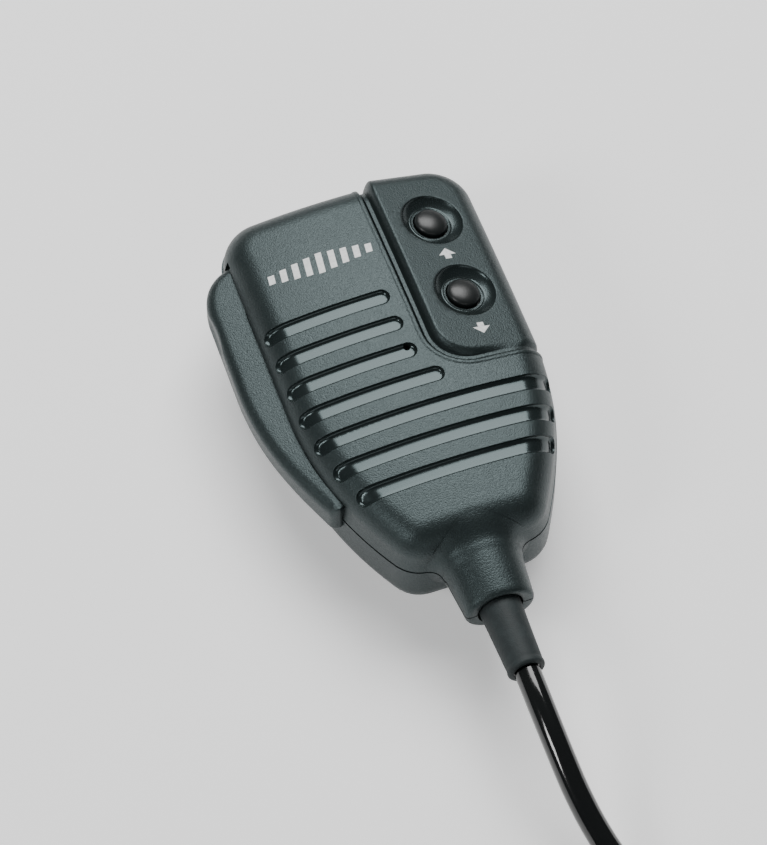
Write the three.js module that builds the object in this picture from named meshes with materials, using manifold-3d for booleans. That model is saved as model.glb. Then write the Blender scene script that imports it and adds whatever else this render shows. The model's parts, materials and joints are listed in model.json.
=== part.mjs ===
// Hand microphone of a mobile two-way radio, with its curly cord and plug.
// Millimetres. X is the right of the microphone seen from its front, +Y its top, +Z out of its
// front face. It lies on its back: the origin is the middle of the hang-up stud's outer face.
import * as THREE from "three";
import { mergeVertices } from "three/addons/utils/BufferGeometryUtils.js";
import Module from "manifold-3d";

const wasm = await Module();
wasm.setup();
const smallestEdge = 0.01;

// ---- Driving dimensions ----

const fit = { rest: 0.3, slide: 0.35, bore: 0.08, panelGap: 0.3, screwHole: 0.3 };

const body = {
  left: -29.6, right: 31, top: 43, bottom: -54.6, // sides of the outline at the parting plane
  backZ: 7, partZ: 21, crownZ: 34, partGap: 0.3,
  wall: 2.2, draft: 0.6, shoulderWidth: 6.5, shoulderDrop: 6, backRound: 6,
  topCorner: 9.5, bottomCorner: 9, bottomHalf: 15.8, taperStart: -10, taperSlope: 60,
  acrossR: 143, alongR: 500, crownY: -8.7,
};

const neck = {
  endY: -68, baseHalf: 9.3, endHalf: 8, frontBase: 8.6, frontEnd: 6.3, rearBase: 8, rearEnd: 6.3,
};

const groove = {
  count: 7, firstY: 9.3, pitch: 7.77, radius: 2.3, depth: 1.1, leftWrapZ: 27.6, rightWrapZ: 28,
  shortEnds: [2, 2.4, 2.9, 6.6], micHole: { x: 1, y: -4.9, r: 0.8 },
};

const panel = {
  left: 5.6, bottom: -12.9, corner: 10, skirt: 9.4, innerSkirt: 5.2, wall: 1.8,
  flangeWidth: 1.4, flangeDrop: 0.9, tilt: 0.27, refX: 18.6, refY: 16, refDrop: 1.9,
  shoulderWidth: 4, shoulderDrop: 4.5, buttonPitch: 20.9, dishR: 7.2, dishDepth: 2,
  plateDepth: 3.6, ringR: 4.7,
};
// The panel's heights are set down from the top of the crown.
const panelHeights = {
  ref: body.crownZ - panel.refDrop, skirt: body.crownZ - panel.skirt, inner: body.crownZ - panel.innerSkirt,
};

const button = { r: 3.8, top: 0.3, edge: -1.2, flangeR: 4.9, flangeTop: 3.9, flangeT: 1.1, stemR: 2 };
const tact = { side: 6.2, top: 7.2, height: 3.4, plungerR: 1.7, plungerTop: 6.35, plungerLength: 1.65 };
const buttonTravel = 0.9;
const buttonBoard = { width: 14, low: -22.5, high: 14.5, thickness: 1.6, holeR: 1.2 };

const ptt = {
  lowZ: 18.4, topZ: 25.9, outer: -36.8, topY: 34.1, bottomY: -35.8, innerX: -25.8,
  pivotX: -21.7, pivotY: -31.5, eyeR: 2.9, travelDeg: 2.2, opening: 0.45,
};
const pivotPin = { r: 1, low: 15, high: 29.2, bossR: 2.6 };

const board = { left: -17.5, right: 16, low: -24, high: 24, bottomZ: 16, thickness: 1.6 };
const boardPosts = [[-13.5, -18], [12, 20]];
const capsule = { x: -2.5, y: -7, r: 4.85, height: 6.5, bootT: 1.6, bossT: 1.7, bossDepth: 6.5, feltT: 0.8 };
const pttSwitch = { left: -16, right: -9.6, low: 6, high: 19, height: 6, plungerY: 12.5, plungerZ: 21, plungerR: 1.2 };
const spring = { y: 27.5, z: 22, coilR: 2.3, wireR: 0.35, turns: 5, seatX: -17, seatHalf: 3 };

const stud = { r: 7, flange: 2.4, neckR: 4, screwR: 1.8, headR: 3.3, headT: 2, washerR: 4.5, washerT: 0.8 };
const casePosts = [[-20, 34.5], [21.6, 34.5], [-14.2, -42.6], [14.2, -42.6]];
const caseScrew = { r: 1.45, headR: 2.6, headT: 2, seatZ: 12, tipZ: 25.2, postR: 3.6, roof: 0.8 };

const cordR = 3;
const relief = { startY: -62, endY: -85, flangeR: 5.6, flangeT: 2.5, rootR: 4.7, endR: 4.1 };
const innerCord = { startY: -42 };
const clamp = { y: -46.8, width: 4.6, half: 9.5, thickness: 2, screwX: 6.5, screwR: 1.2, headR: 2.2, headT: 1.4 };
const leads = { count: 4, spacing: 1.7, r: 0.6, boardY: -22.5, boardSpacing: 3.4 };

const capsuleLead = { spread: 0.9, r: 0.4 };
const jumper = { count: 3, x: 10.6, y: 6, spacing: 2.5, r: 0.4, top: 20.6 };

const curl = { outerR: 8.5, legX: [14, -20], startY: -150, turnY: -320, endY: -222 };
const plug = {
  z: 9.3, faceY: -133, ringR: 9.3, ringLength: 13, ringBore: 7.9, insertR: 6.3, insertLength: 12,
  bodyR: 7.4, bodyWall: 1.2, bodyLength: 24, bootR: 5.2, bootEndR: 4, bootLength: 15, bootInside: 4,
  contactR: 1.2, contactBore: 0.65, contactCircle: 3.3, contactCount: 4, screwR: 1.2,
};

// The straight cord from the strain relief down to the surface and on to the curl, point by point.
const micTailPoints = [
  [0, -85.3, 21], [0, -92, 20.4], [0.2, -99, 18.8], [0.6, -106, 16.4], [1.3, -113, 13.4],
  [2.6, -120, 10.2], [4.6, -127, 7.2], [7.4, -133, 5], [10.6, -138.8, 3.9], [13.2, -144.2, 3.6], [14, -149.2, 3.6],
];

// ---- Materials ----

function finish(colour, roughness, metalness = 0) {
  return new THREE.MeshStandardMaterial({ color: colour, roughness, metalness });
}
const caseBlack = finish(0x2a2e2d, 0.55);
const keyBlack = finish(0x1b1d1d, 0.35);
const softBlack = finish(0x232524, 0.8);
const cordBlack = finish(0x0c0d0d, 0.25);
const steel = finish(0xb9bcbf, 0.35, 1);
const brass = finish(0xc9a24a, 0.35, 1);
const chrome = finish(0xd5d8db, 0.15, 1);
const boardGreen = finish(0x2f5a35, 0.5);
const feltGrey = finish(0x3a3a3c, 0.95);
const leadColours = [0xb02020, 0xe8e8e0, 0x202020, 0x2050b0].map((colour) => finish(colour, 0.5));

const microphone = new THREE.Group();
microphone.name = "hand_microphone";

// ---- Solids ----

function solid(geometry) {
  const bare = geometry.clone();
  bare.deleteAttribute("normal");
  bare.deleteAttribute("uv");
  const merged = mergeVertices(bare, 1e-4);
  const index = merged.index.array;
  const triangles = [];
  for (let i = 0; i < index.length; i += 3) {
    const [a, b, c] = index.slice(i, i + 3);
    if (a !== b && b !== c && c !== a) triangles.push(a, b, c);
  }
  const mesh = new wasm.Mesh({
    numProp: 3,
    vertProperties: new Float32Array(merged.attributes.position.array),
    triVerts: new Uint32Array(triangles),
  });
  return new wasm.Manifold(mesh);
}

function geometryOf(manifold) {
  const mesh = manifold.getMesh();
  const geometry = new THREE.BufferGeometry();
  geometry.setAttribute("position", new THREE.BufferAttribute(mesh.vertProperties, 3));
  geometry.setIndex(new THREE.BufferAttribute(mesh.triVerts, 1));
  return geometry;
}

function joined(...solids) {
  return solids.reduce((sum, next) => sum.add(next));
}

function cut(from, ...tools) {
  return tools.reduce((rest, tool) => rest.subtract(tool), from);
}

function node(name, shape, material, parent = microphone) {
  const mesh = new THREE.Mesh(geometryOf(shape.simplify(smallestEdge)), material);
  mesh.name = name;
  parent.add(mesh);
  return mesh;
}

function box([x0, x1], [y0, y1], [z0, z1]) {
  const geometry = new THREE.BoxGeometry(x1 - x0, y1 - y0, z1 - z0);
  geometry.translate((x0 + x1) / 2, (y0 + y1) / 2, (z0 + z1) / 2);
  return solid(geometry);
}

// A round bar from z0 to z1, standing at x, y.
function barZ(x, y, r, z0, z1, sides = 24) {
  const geometry = new THREE.CylinderGeometry(r, r, z1 - z0, sides);
  geometry.rotateX(Math.PI / 2).translate(x, y, (z0 + z1) / 2);
  return solid(geometry);
}

// A round bar from y0 to y1, lying at x, z.
function barY(x, z, r, y0, y1, sides = 24) {
  const geometry = new THREE.CylinderGeometry(r, r, y1 - y0, sides);
  geometry.translate(x, (y0 + y1) / 2, z);
  return solid(geometry);
}

// A round bar from x0 to x1, lying at y, z.
function barX(y, z, r, x0, x1, sides = 16) {
  const geometry = new THREE.CylinderGeometry(r, r, x1 - x0, sides);
  geometry.rotateZ(Math.PI / 2).translate((x0 + x1) / 2, y, z);
  return solid(geometry);
}

// A turned piece on the Y axis line through x, z, from a profile of [radius, y] points.
function turnedY(x, z, profile, sides = 24) {
  const closed = [...profile, profile[0]].map(([r, y]) => new THREE.Vector2(r, y));
  const geometry = new THREE.LatheGeometry(closed, sides);
  geometry.translate(x, 0, z);
  return outward(solid(geometry));
}

// A turned piece on the Z axis line through x, y, from a profile of [radius, z] points.
function turnedZ(x, y, profile, sides = 24) {
  const closed = [...profile, profile[0]].map(([r, z]) => new THREE.Vector2(r, z));
  const geometry = new THREE.LatheGeometry(closed, sides);
  geometry.rotateX(Math.PI / 2).translate(x, y, 0);
  return outward(solid(geometry));
}

function outward(shape) {
  if (shape.volume() > 0) return shape;
  const geometry = geometryOf(shape);
  geometry.index.array.reverse();
  return solid(geometry);
}

// A flat plate of the given outline, from z0 to z1.
function plate(outline, z0, z1, steps = 10) {
  const shape = new THREE.ExtrudeGeometry(outline, { depth: z1 - z0, bevelEnabled: false, curveSegments: steps });
  shape.translate(0, 0, z0);
  return solid(shape);
}

// A round wire or cord along points, with the given number of sides and steps.
function tube(points, r, sides, steps) {
  const section = new THREE.Shape();
  for (let i = 0; i < sides; i++) {
    const angle = (2 * Math.PI * i) / sides;
    const [x, y] = [r * Math.cos(angle), r * Math.sin(angle)];
    if (i === 0) section.moveTo(x, y);
    else section.lineTo(x, y);
  }
  const path = new THREE.CatmullRomCurve3(points.map((p) => new THREE.Vector3(...p)));
  const geometry = new THREE.ExtrudeGeometry(section, { steps, bevelEnabled: false, extrudePath: path });
  return outward(solid(geometry));
}

// A solid through rings of equally many points. It closes with a fan at each end.
function loft(rings) {
  const count = rings[0].length;
  const points = rings.flat();
  const faces = [];
  for (let r = 0; r + 1 < rings.length; r++) {
    for (let i = 0; i < count; i++) {
      const [a, b] = [r * count + i, r * count + ((i + 1) % count)];
      faces.push(a, b, b + count, a, b + count, a + count);
    }
  }
  for (const [ring, flip] of [[0, true], [rings.length - 1, false]]) {
    const middle = rings[ring].reduce((sum, p) => sum.add(p), new THREE.Vector3()).divideScalar(count);
    const hub = points.push(middle) - 1;
    for (let i = 0; i < count; i++) {
      const [a, b] = [ring * count + i, ring * count + ((i + 1) % count)];
      if (flip) faces.push(hub, b, a);
      else faces.push(hub, a, b);
    }
  }
  const geometry = new THREE.BufferGeometry().setFromPoints(points);
  geometry.setIndex(faces);
  return outward(solid(geometry));
}

// ---- Case outline and surfaces ----

// The case seen from the front: straight sides, round top corners, sides that taper to the bottom.
function caseOutline() {
  const slope = THREE.MathUtils.degToRad(body.taperSlope);
  const along = new THREE.Vector2(Math.cos(slope), Math.sin(slope));
  const tangent = body.bottomCorner * Math.tan(slope / 2);
  const foot = { x: body.bottomHalf + along.x * tangent, y: body.bottom + along.y * tangent };
  const pull = { x: foot.x + along.x * 12, y: foot.y + along.y * 12 };
  const knee = body.taperStart - 16;
  const shoulderY = body.top - body.topCorner;
  const round = 0.55 * body.topCorner;
  const path = new THREE.Path();
  path.moveTo(0, body.bottom);
  path.lineTo(body.bottomHalf - tangent, body.bottom);
  path.quadraticCurveTo(body.bottomHalf, body.bottom, foot.x, foot.y);
  path.bezierCurveTo(pull.x, pull.y, body.right, knee, body.right, body.taperStart);
  path.lineTo(body.right, shoulderY);
  const rightIn = body.right - body.topCorner;
  path.bezierCurveTo(body.right, shoulderY + round, rightIn + round, body.top, rightIn, body.top);
  const leftIn = body.left + body.topCorner;
  path.lineTo(leftIn, body.top);
  path.bezierCurveTo(leftIn - round, body.top, body.left, shoulderY + round, body.left, shoulderY);
  path.lineTo(body.left, body.taperStart);
  path.bezierCurveTo(body.left, knee, -pull.x, pull.y, -foot.x, foot.y);
  path.quadraticCurveTo(-body.bottomHalf, body.bottom, tangent - body.bottomHalf, body.bottom);
  path.lineTo(0, body.bottom);
  return path;
}

const outlinePoints = caseOutline().curves.flatMap((curve) => {
  const steps = curve.type === "LineCurve" ? 3 : 5;
  return curve.getPoints(steps).slice(0, -1);
});

// The outline moved inwards by a distance, point by point along its own normals.
function insetOutline(distance) {
  const count = outlinePoints.length;
  return outlinePoints.map((point, i) => {
    const before = outlinePoints[(i + count - 1) % count];
    const after = outlinePoints[(i + 1) % count];
    const along = after.clone().sub(before).normalize();
    return new THREE.Vector2(point.x - along.y * distance, point.y + along.x * distance);
  });
}

function crownZ(x, y) {
  return body.crownZ - x ** 2 / (2 * body.acrossR) - (y - body.crownY) ** 2 / (2 * body.alongR);
}

function panelZ(x, y) {
  const bow = ((y - body.crownY) ** 2 - (panel.refY - body.crownY) ** 2) / (2 * body.alongR);
  return panelHeights.ref - panel.tilt * (x - panel.refX) - bow;
}

// The solid under a top surface: an upright wall, a rounded shoulder, then the surface to its middle.
// inset moves the whole outline in, and lower moves the whole surface down.
function domed(surface, floorZ, inset, lower, shoulderWidth, shoulderDrop) {
  const rings = [];
  const ring = (distance, level) => {
    const points = insetOutline(distance);
    rings.push(points.map((p) => new THREE.Vector3(p.x, p.y, level(p))));
  };
  ring(inset, () => floorZ);
  for (const turn of [0, 25, 50, 90]) {
    const angle = THREE.MathUtils.degToRad(turn);
    const distance = inset + body.draft + shoulderWidth * (1 - Math.cos(angle));
    const drop = lower + shoulderDrop * (1 - Math.sin(angle));
    ring(distance, (p) => surface(p.x, p.y) - drop);
  }
  const edge = rings[rings.length - 1];
  for (const share of [0.62, 0.28]) {
    rings.push(edge.map((p) => {
      const [x, y] = [p.x * share, body.crownY + (p.y - body.crownY) * share];
      return new THREE.Vector3(x, y, surface(x, y) - lower);
    }));
  }
  return loft(rings);
}

// The back half: a flat back, a rounded edge, then an upright wall to the parting plane.
function backed(topZ, inset, lowZ, round) {
  const rings = [];
  for (const turn of [0, 30, 60, 90]) {
    const angle = THREE.MathUtils.degToRad(turn);
    const points = insetOutline(inset + round * (1 - Math.sin(angle)));
    const z = lowZ + round * (1 - Math.cos(angle));
    rings.push(points.map((p) => new THREE.Vector3(p.x, p.y, z)));
  }
  rings.push(insetOutline(inset).map((p) => new THREE.Vector3(p.x, p.y, topZ)));
  return loft(rings);
}

// One half of the neck: half an ellipse that narrows towards its end.
function neckHalf(side, baseHeight, endHeight) {
  const flatZ = body.partZ + (side * body.partGap) / 2;
  const rings = [];
  const baseY = body.bottom + body.wall;
  for (const share of [0, 0.3, 1]) {
    const half = THREE.MathUtils.lerp(neck.baseHalf, neck.endHalf, share);
    const height = THREE.MathUtils.lerp(baseHeight, endHeight, share);
    const y = THREE.MathUtils.lerp(baseY, neck.endY, share);
    const points = [];
    for (let i = 0; i <= 12; i++) {
      const angle = (Math.PI * i) / 12;
      points.push(new THREE.Vector3(half * Math.cos(angle), y, flatZ + side * height * Math.sin(angle)));
    }
    rings.push(points);
  }
  return loft(rings);
}

// The way through the neck for the strain relief, its flange and the cord.
const reliefBoreR = relief.rootR + fit.slide;
const reliefWay = joined(
  barY(0, body.partZ, reliefBoreR, neck.endY - 1, relief.startY - relief.flangeT),
  barY(0, body.partZ, relief.flangeR + fit.slide, relief.startY - relief.flangeT - fit.slide, relief.startY + fit.slide),
  barY(0, body.partZ, cordR + 2 * fit.rest, relief.startY, body.bottom + 2 * body.wall),
);

// ---- Push-to-talk lever outline, seen from the front ----

function leverOutline() {
  const shape = new THREE.Shape();
  shape.moveTo(ptt.innerX, ptt.topY);
  shape.lineTo(body.left + 1.2, ptt.topY);
  shape.bezierCurveTo(body.left - 4, ptt.topY - 1.2, ptt.outer + 0.6, ptt.topY - 5, ptt.outer + 0.4, ptt.topY - 11);
  shape.lineTo(ptt.outer, 2);
  shape.bezierCurveTo(ptt.outer, -13, -33, -23, -27.9, ptt.bottomY + 0.8);
  shape.quadraticCurveTo(-27.2, ptt.bottomY, -25.6, ptt.bottomY);
  shape.lineTo(ptt.pivotX - 1.2, ptt.pivotY - ptt.eyeR + 0.2);
  shape.lineTo(ptt.pivotX + 1.2, ptt.pivotY + ptt.eyeR - 0.4);
  shape.lineTo(-23.6, -25);
  shape.lineTo(ptt.innerX + 0.6, -16);
  shape.lineTo(ptt.innerX, -10);
  return shape;
}

// The same outline made larger all round by a clearance, for the opening in the case.
function grownOutline(shape, clearance) {
  const points = shape.getPoints(10).filter((p, i, all) => i === 0 || p.distanceTo(all[i - 1]) > 0.01);
  const turn = THREE.ShapeUtils.isClockWise(points) ? 1 : -1;
  const grown = points.map((point, i) => {
    const before = points[(i + points.length - 1) % points.length];
    const after = points[(i + 1) % points.length];
    const along = after.clone().sub(before).normalize();
    return new THREE.Vector2(point.x - turn * along.y * clearance, point.y + turn * along.x * clearance);
  });
  return new THREE.Shape(grown);
}

function pttOpening(z0, z1) {
  const eye = barZ(ptt.pivotX, ptt.pivotY, ptt.eyeR + ptt.opening, z0, z1);
  const still = plate(grownOutline(leverOutline(), ptt.opening), z0, z1).add(eye);
  const swung = geometryOf(still);
  swung.translate(-ptt.pivotX, -ptt.pivotY, 0);
  swung.rotateZ(-THREE.MathUtils.degToRad(ptt.travelDeg));
  swung.translate(ptt.pivotX, ptt.pivotY, 0);
  return still.add(solid(swung));
}

// ---- Button panel outline, seen from the front ----

function panelOutline(inset) {
  const [x, y] = [panel.left + inset, panel.bottom + inset];
  const r = Math.max(panel.corner - inset, 2);
  const [farX, farY] = [body.right + 10, body.top + 10];
  const shape = new THREE.Shape();
  shape.moveTo(farX, farY);
  shape.lineTo(x, farY);
  shape.lineTo(x, y + r);
  shape.absarc(x + r, y + r, r, Math.PI, 1.5 * Math.PI, false);
  shape.lineTo(farX, y);
  return shape;
}

// The panel's own frame: its origin is on the panel's face between the buttons, w is out of the face.
const panelNormal = new THREE.Vector3(
  panel.tilt, (panel.refY - body.crownY) / body.alongR, 1,
).normalize();
const panelAcross = new THREE.Vector3(1, 0, -panelNormal.x / panelNormal.z).normalize();
const panelUp = new THREE.Vector3().crossVectors(panelNormal, panelAcross);
const panelFrame = new THREE.Group();
panelFrame.position.set(panel.refX, panel.refY, panelZ(panel.refX, panel.refY));
panelFrame.quaternion.setFromRotationMatrix(
  new THREE.Matrix4().makeBasis(panelAcross, panelUp, panelNormal),
);
panelFrame.updateMatrix();
microphone.add(panelFrame);

function inPanelFrame(shape) {
  return solid(geometryOf(shape).applyMatrix4(panelFrame.matrix));
}
const buttonSpots = { up: panel.buttonPitch / 2, down: -panel.buttonPitch / 2 };

// ---- Front shell ----

// A groove follows the crown and turns down over the side, with a round end.
function grooveTool(y, rightEnd, wrapsRight) {
  const centreZ = (x) => crownZ(x, y) + groove.radius - groove.depth;
  const sideX = leftSideAt(y);
  const points = [[sideX - 0.4, y, groove.leftWrapZ], [sideX + 1.6, y, centreZ(sideX) - 3.2]];
  points.push([sideX + 5, y, centreZ(sideX + 5) - 0.6], [sideX + 9, y, centreZ(sideX + 9)]);
  for (const share of [0.35, 0.7]) {
    const x = THREE.MathUtils.lerp(sideX + 9, rightEnd, share);
    points.push([x, y, centreZ(x)]);
  }
  if (wrapsRight) {
    points.push([rightEnd - 9, y, centreZ(rightEnd - 9)], [rightEnd - 5, y, centreZ(rightEnd - 5) - 0.6]);
    points.push([rightEnd - 1.6, y, centreZ(rightEnd) - 3.2], [rightEnd + 0.4, y, groove.rightWrapZ]);
  } else {
    points.push([rightEnd - groove.radius, y, centreZ(rightEnd - groove.radius)]);
  }
  const balls = [points[0], points[points.length - 1]].map((p) => {
    const geometry = new THREE.SphereGeometry(groove.radius, 8, 6);
    geometry.translate(...p);
    return solid(geometry);
  });
  return joined(tube(points, groove.radius, 8, 10), ...balls);
}

function sideAt(y, side) {
  const points = outlinePoints.filter((p) => p.x * side > 0);
  let best = points[0];
  for (const p of points) {
    if (Math.abs(p.y - y) < Math.abs(best.y - y)) best = p;
  }
  return best.x - side * (body.draft + 0.6);
}

function leftSideAt(y) {
  return sideAt(y, -1);
}

function frontShell() {
  const floorZ = body.partZ + body.partGap / 2;
  const outer = domed(crownZ, floorZ, 0, 0, body.shoulderWidth, body.shoulderDrop);
  const inner = domed(crownZ, floorZ - 2, body.wall, body.wall, body.shoulderWidth, body.shoulderDrop);
  let shell = cut(joined(outer, neckHalf(1, neck.frontBase, neck.frontEnd)), inner);
  const posts = casePosts.map(([x, y]) => barZ(x, y, caseScrew.postR, floorZ, crownZ(x, y) - 1));
  const hinge = barZ(ptt.pivotX, ptt.pivotY, pivotPin.bossR, ptt.topZ + fit.rest, crownZ(ptt.pivotX, ptt.pivotY) - 2);
  const capsuleTop = crownZ(capsule.x, capsule.y) - body.wall;
  const ring = capsule.r + capsule.bootT + 2 * fit.rest;
  const boss = barZ(capsule.x, capsule.y, ring + capsule.bossT, capsuleTop - capsule.bossDepth, capsuleTop + 1, 32);
  const bossBore = barZ(capsule.x, capsule.y, ring, capsuleTop - capsule.bossDepth - 1, capsuleTop, 32);
  shell = cut(joined(shell, hinge, boss, ...posts).intersect(joined(outer, neckHalf(1, neck.frontBase, neck.frontEnd))), bossBore);
  for (let i = 0; i < groove.count; i++) {
    const y = groove.firstY - i * groove.pitch;
    const wraps = i >= groove.shortEnds.length;
    shell = cut(shell, grooveTool(y, wraps ? sideAt(y, 1) : groove.shortEnds[i], wraps));
  }
  const hole = groove.micHole;
  shell = cut(shell, barZ(hole.x, hole.y, hole.r, capsuleTop - 0.5, body.crownZ + 1, 16));
  shell = cut(shell, reliefWay, pttOpening(body.partZ - 1, ptt.topZ + fit.rest));
  shell = cut(shell, plate(panelOutline(-fit.panelGap / 2), panelHeights.skirt - fit.rest, body.crownZ + 5));
  // The post under the panel is put back up to where its screw ends.
  const [postX, postY] = casePosts[1];
  shell = shell.add(barZ(postX, postY, caseScrew.postR, floorZ, caseScrew.tipZ + caseScrew.roof));
  shell = shell.add(box([postX, body.right], [postY - 1, postY + 1], [floorZ, panelHeights.skirt - fit.rest]).intersect(outer));
  const pilots = casePosts.map(([x, y]) => barZ(x, y, caseScrew.r + fit.screwHole, floorZ - 1, caseScrew.tipZ + fit.rest, 16));
  const pinHole = barZ(ptt.pivotX, ptt.pivotY, pivotPin.r + fit.bore, ptt.topZ - 1, pivotPin.high + fit.rest);
  return cut(shell, pinHole, ...pilots);
}

// ---- Rear cover ----

function rearCover() {
  const topZ = body.partZ - body.partGap / 2;
  const floorZ = body.backZ + body.wall;
  const outer = joined(backed(topZ, 0, body.backZ, body.backRound), neckHalf(-1, neck.rearBase, neck.rearEnd));
  const inner = backed(topZ + 2, body.wall, floorZ, body.backRound - body.wall);
  const posts = casePosts.map(([x, y]) => barZ(x, y, caseScrew.postR, body.backZ + 1, topZ));
  const boardRests = boardPosts.map(([x, y]) => barZ(x, y, 2.8, body.backZ + 1, board.bottomZ - fit.rest));
  const saddleTop = body.partZ - cordR - fit.rest;
  const saddle = box([-clamp.half, clamp.half], [clamp.y - clamp.width / 2 - 0.5, clamp.y + clamp.width / 2 + 0.5], [body.backZ + 1, saddleTop]);
  const hinge = barZ(ptt.pivotX, ptt.pivotY, pivotPin.bossR, body.backZ + 1, ptt.lowZ - fit.rest);
  const seatY = [spring.y - spring.seatHalf, spring.y + spring.seatHalf];
  const seat = box([spring.seatX, spring.seatX + 2], seatY, [body.backZ + 1, spring.z + 2.6]);
  const fixed = joined(cut(outer, inner), ...posts, ...boardRests, saddle, hinge).intersect(outer);
  let cover = fixed.add(seat);
  cover = cut(cover, reliefWay, pttOpening(ptt.lowZ - fit.rest, body.partZ + 1));
  for (const [x, y] of casePosts) {
    cover = cut(cover, barZ(x, y, caseScrew.headR + 0.4, body.backZ - 1, caseScrew.seatZ));
    cover = cut(cover, barZ(x, y, caseScrew.r + fit.screwHole, caseScrew.seatZ - 1, topZ + 1, 16));
  }
  for (const [x, y] of boardPosts) {
    cover = cut(cover, barZ(x, y, 1.4, floorZ + 1, board.bottomZ, 12));
  }
  for (const side of [-1, 1]) {
    cover = cut(cover, barZ(side * clamp.screwX, clamp.y, clamp.screwR + fit.screwHole, floorZ + 1, saddleTop + 1, 12));
  }
  const pinHole = barZ(ptt.pivotX, ptt.pivotY, pivotPin.r + fit.bore, pivotPin.low - fit.rest, ptt.lowZ);
  const studHole = barZ(0, 0, stud.screwR + fit.screwHole, body.backZ - 1, floorZ + 1);
  return cut(cover, pinHole, studHole);
}

node("front_shell", frontShell(), caseBlack);
node("rear_cover", rearCover(), caseBlack);

// ---- Button panel, buttons and their switches ----

function buttonPanel() {
  const gap = fit.panelGap / 2;
  const low = panelHeights.skirt;
  const high = body.crownZ + 8;
  const { wall } = panel;
  const raisedInset = gap + panel.flangeWidth;
  const flange = domed(crownZ, 0, 0, panel.flangeDrop, body.shoulderWidth, body.shoulderDrop);
  const raised = domed(panelZ, 0, 0, 0, panel.shoulderWidth, panel.shoulderDrop);
  const outer = joined(
    flange.intersect(plate(panelOutline(gap), low, high)),
    raised.intersect(plate(panelOutline(raisedInset), low, high)),
  );
  const flangeIn = domed(crownZ, 0, wall, panel.flangeDrop + wall, body.shoulderWidth, body.shoulderDrop);
  const raisedIn = domed(panelZ, 0, wall, wall, panel.shoulderWidth, panel.shoulderDrop);
  const hollow = joined(
    flangeIn.intersect(plate(panelOutline(gap + wall), low - 1, high)),
    raisedIn.intersect(plate(panelOutline(raisedInset + wall), low - 1, high)),
  );
  const below = raisedIn.intersect(plate(panelOutline(gap - 1), low - 1, panelHeights.inner));
  let shape = cut(outer, hollow, below);
  const middle = (spot, r, from, to) => inPanelFrame(barZ(0, spot, r, -from, -to, 32));
  const posts = [0, buttonBoard.low + 3].map((v) => {
    return inPanelFrame(barZ(0, v, 2.1, -(tact.top + tact.height), -1, 20));
  });
  const bosses = Object.values(buttonSpots).map((spot) => middle(spot, panel.dishR + 0.8, panel.plateDepth, 1));
  const tabs = [
    box([panel.left - 1.8, panel.left + 1.2], [18, 26], [panelHeights.inner, panelHeights.inner + 1.3]),
    box([12, 20], [panel.bottom - 1.8, panel.bottom + 1.2], [panelHeights.inner, panelHeights.inner + 1]),
  ];
  shape = joined(shape, ...bosses, ...posts, ...tabs);
  for (const spot of Object.values(buttonSpots)) {
    const dish = turnedZ(0, spot, [
      [0, 3], [panel.dishR, 3], [panel.dishR, 0], [panel.dishR - 0.5, -0.9], [panel.ringR + 0.6, -panel.dishDepth],
      [panel.ringR, -panel.dishDepth], [panel.ringR, -panel.dishDepth + 0.4], [0, -panel.dishDepth + 0.4],
    ]);
    const hole = barZ(0, spot, button.r + fit.slide, -panel.plateDepth - 1, 1, 32);
    shape = cut(shape, inPanelFrame(dish), inPanelFrame(hole));
  }
  const screws = [0, buttonBoard.low + 3].map((v) => {
    return inPanelFrame(barZ(0, v, buttonBoard.holeR, -(tact.top + tact.height + 1), -6, 12));
  });
  return cut(shape, ...screws);
}

node("button_panel", buttonPanel(), caseBlack);

// A domed cap on a stem, with a flange under the panel that keeps it in.
function buttonCap(spot) {
  const flangeLow = -(button.flangeTop + button.flangeT);
  return turnedZ(0, spot, [
    [0, button.top], [button.r * 0.4, button.top - 0.15], [button.r * 0.75, button.top - 0.55],
    [button.r, button.edge], [button.r, -button.flangeTop], [button.flangeR, -button.flangeTop],
    [button.flangeR, flangeLow], [button.stemR, flangeLow], [button.stemR, -tact.plungerTop + fit.rest],
    [0, -tact.plungerTop + fit.rest],
  ]);
}

for (const [name, spot] of Object.entries(buttonSpots)) {
  node(`${name}_button`, buttonCap(spot), keyBlack, panelFrame);
  const half = tact.side / 2;
  const block = box([-half, half], [spot - half, spot + half], [-(tact.top + tact.height - fit.rest), -tact.top]);
  const well = barZ(0, spot, tact.plungerR + fit.rest, -(tact.top + 1.95), 0, 20);
  node(`${name}_switch`, cut(block, well), keyBlack, panelFrame);
  const plungerLow = -(tact.plungerTop + tact.plungerLength);
  node(`${name}_switch_plunger`, barZ(0, spot, tact.plungerR, plungerLow, -tact.plungerTop, 16), steel, panelFrame);
}

function buttonBoardShape() {
  const top = -(tact.top + tact.height + fit.rest);
  const half = buttonBoard.width / 2;
  const sheet = box([-half, half], [buttonBoard.low, buttonBoard.high], [top - buttonBoard.thickness, top]);
  const holes = [0, buttonBoard.low + 3].map((v) => barZ(0, v, buttonBoard.holeR, top - 3, top + 1, 12));
  return cut(sheet, ...holes);
}
node("button_board", buttonBoardShape(), boardGreen, panelFrame);

[0, buttonBoard.low + 3].forEach((v, i) => {
  const seat = -(tact.top + tact.height + 2 * fit.rest + buttonBoard.thickness);
  const head = barZ(0, v, 1.9, seat - 1.2, seat, 16);
  const shank = barZ(0, v, buttonBoard.holeR - fit.screwHole, seat, -7, 12);
  node(`button_board_screw_${i + 1}`, head.add(shank), steel, panelFrame);
});

// ---- Push-to-talk lever ----

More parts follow.
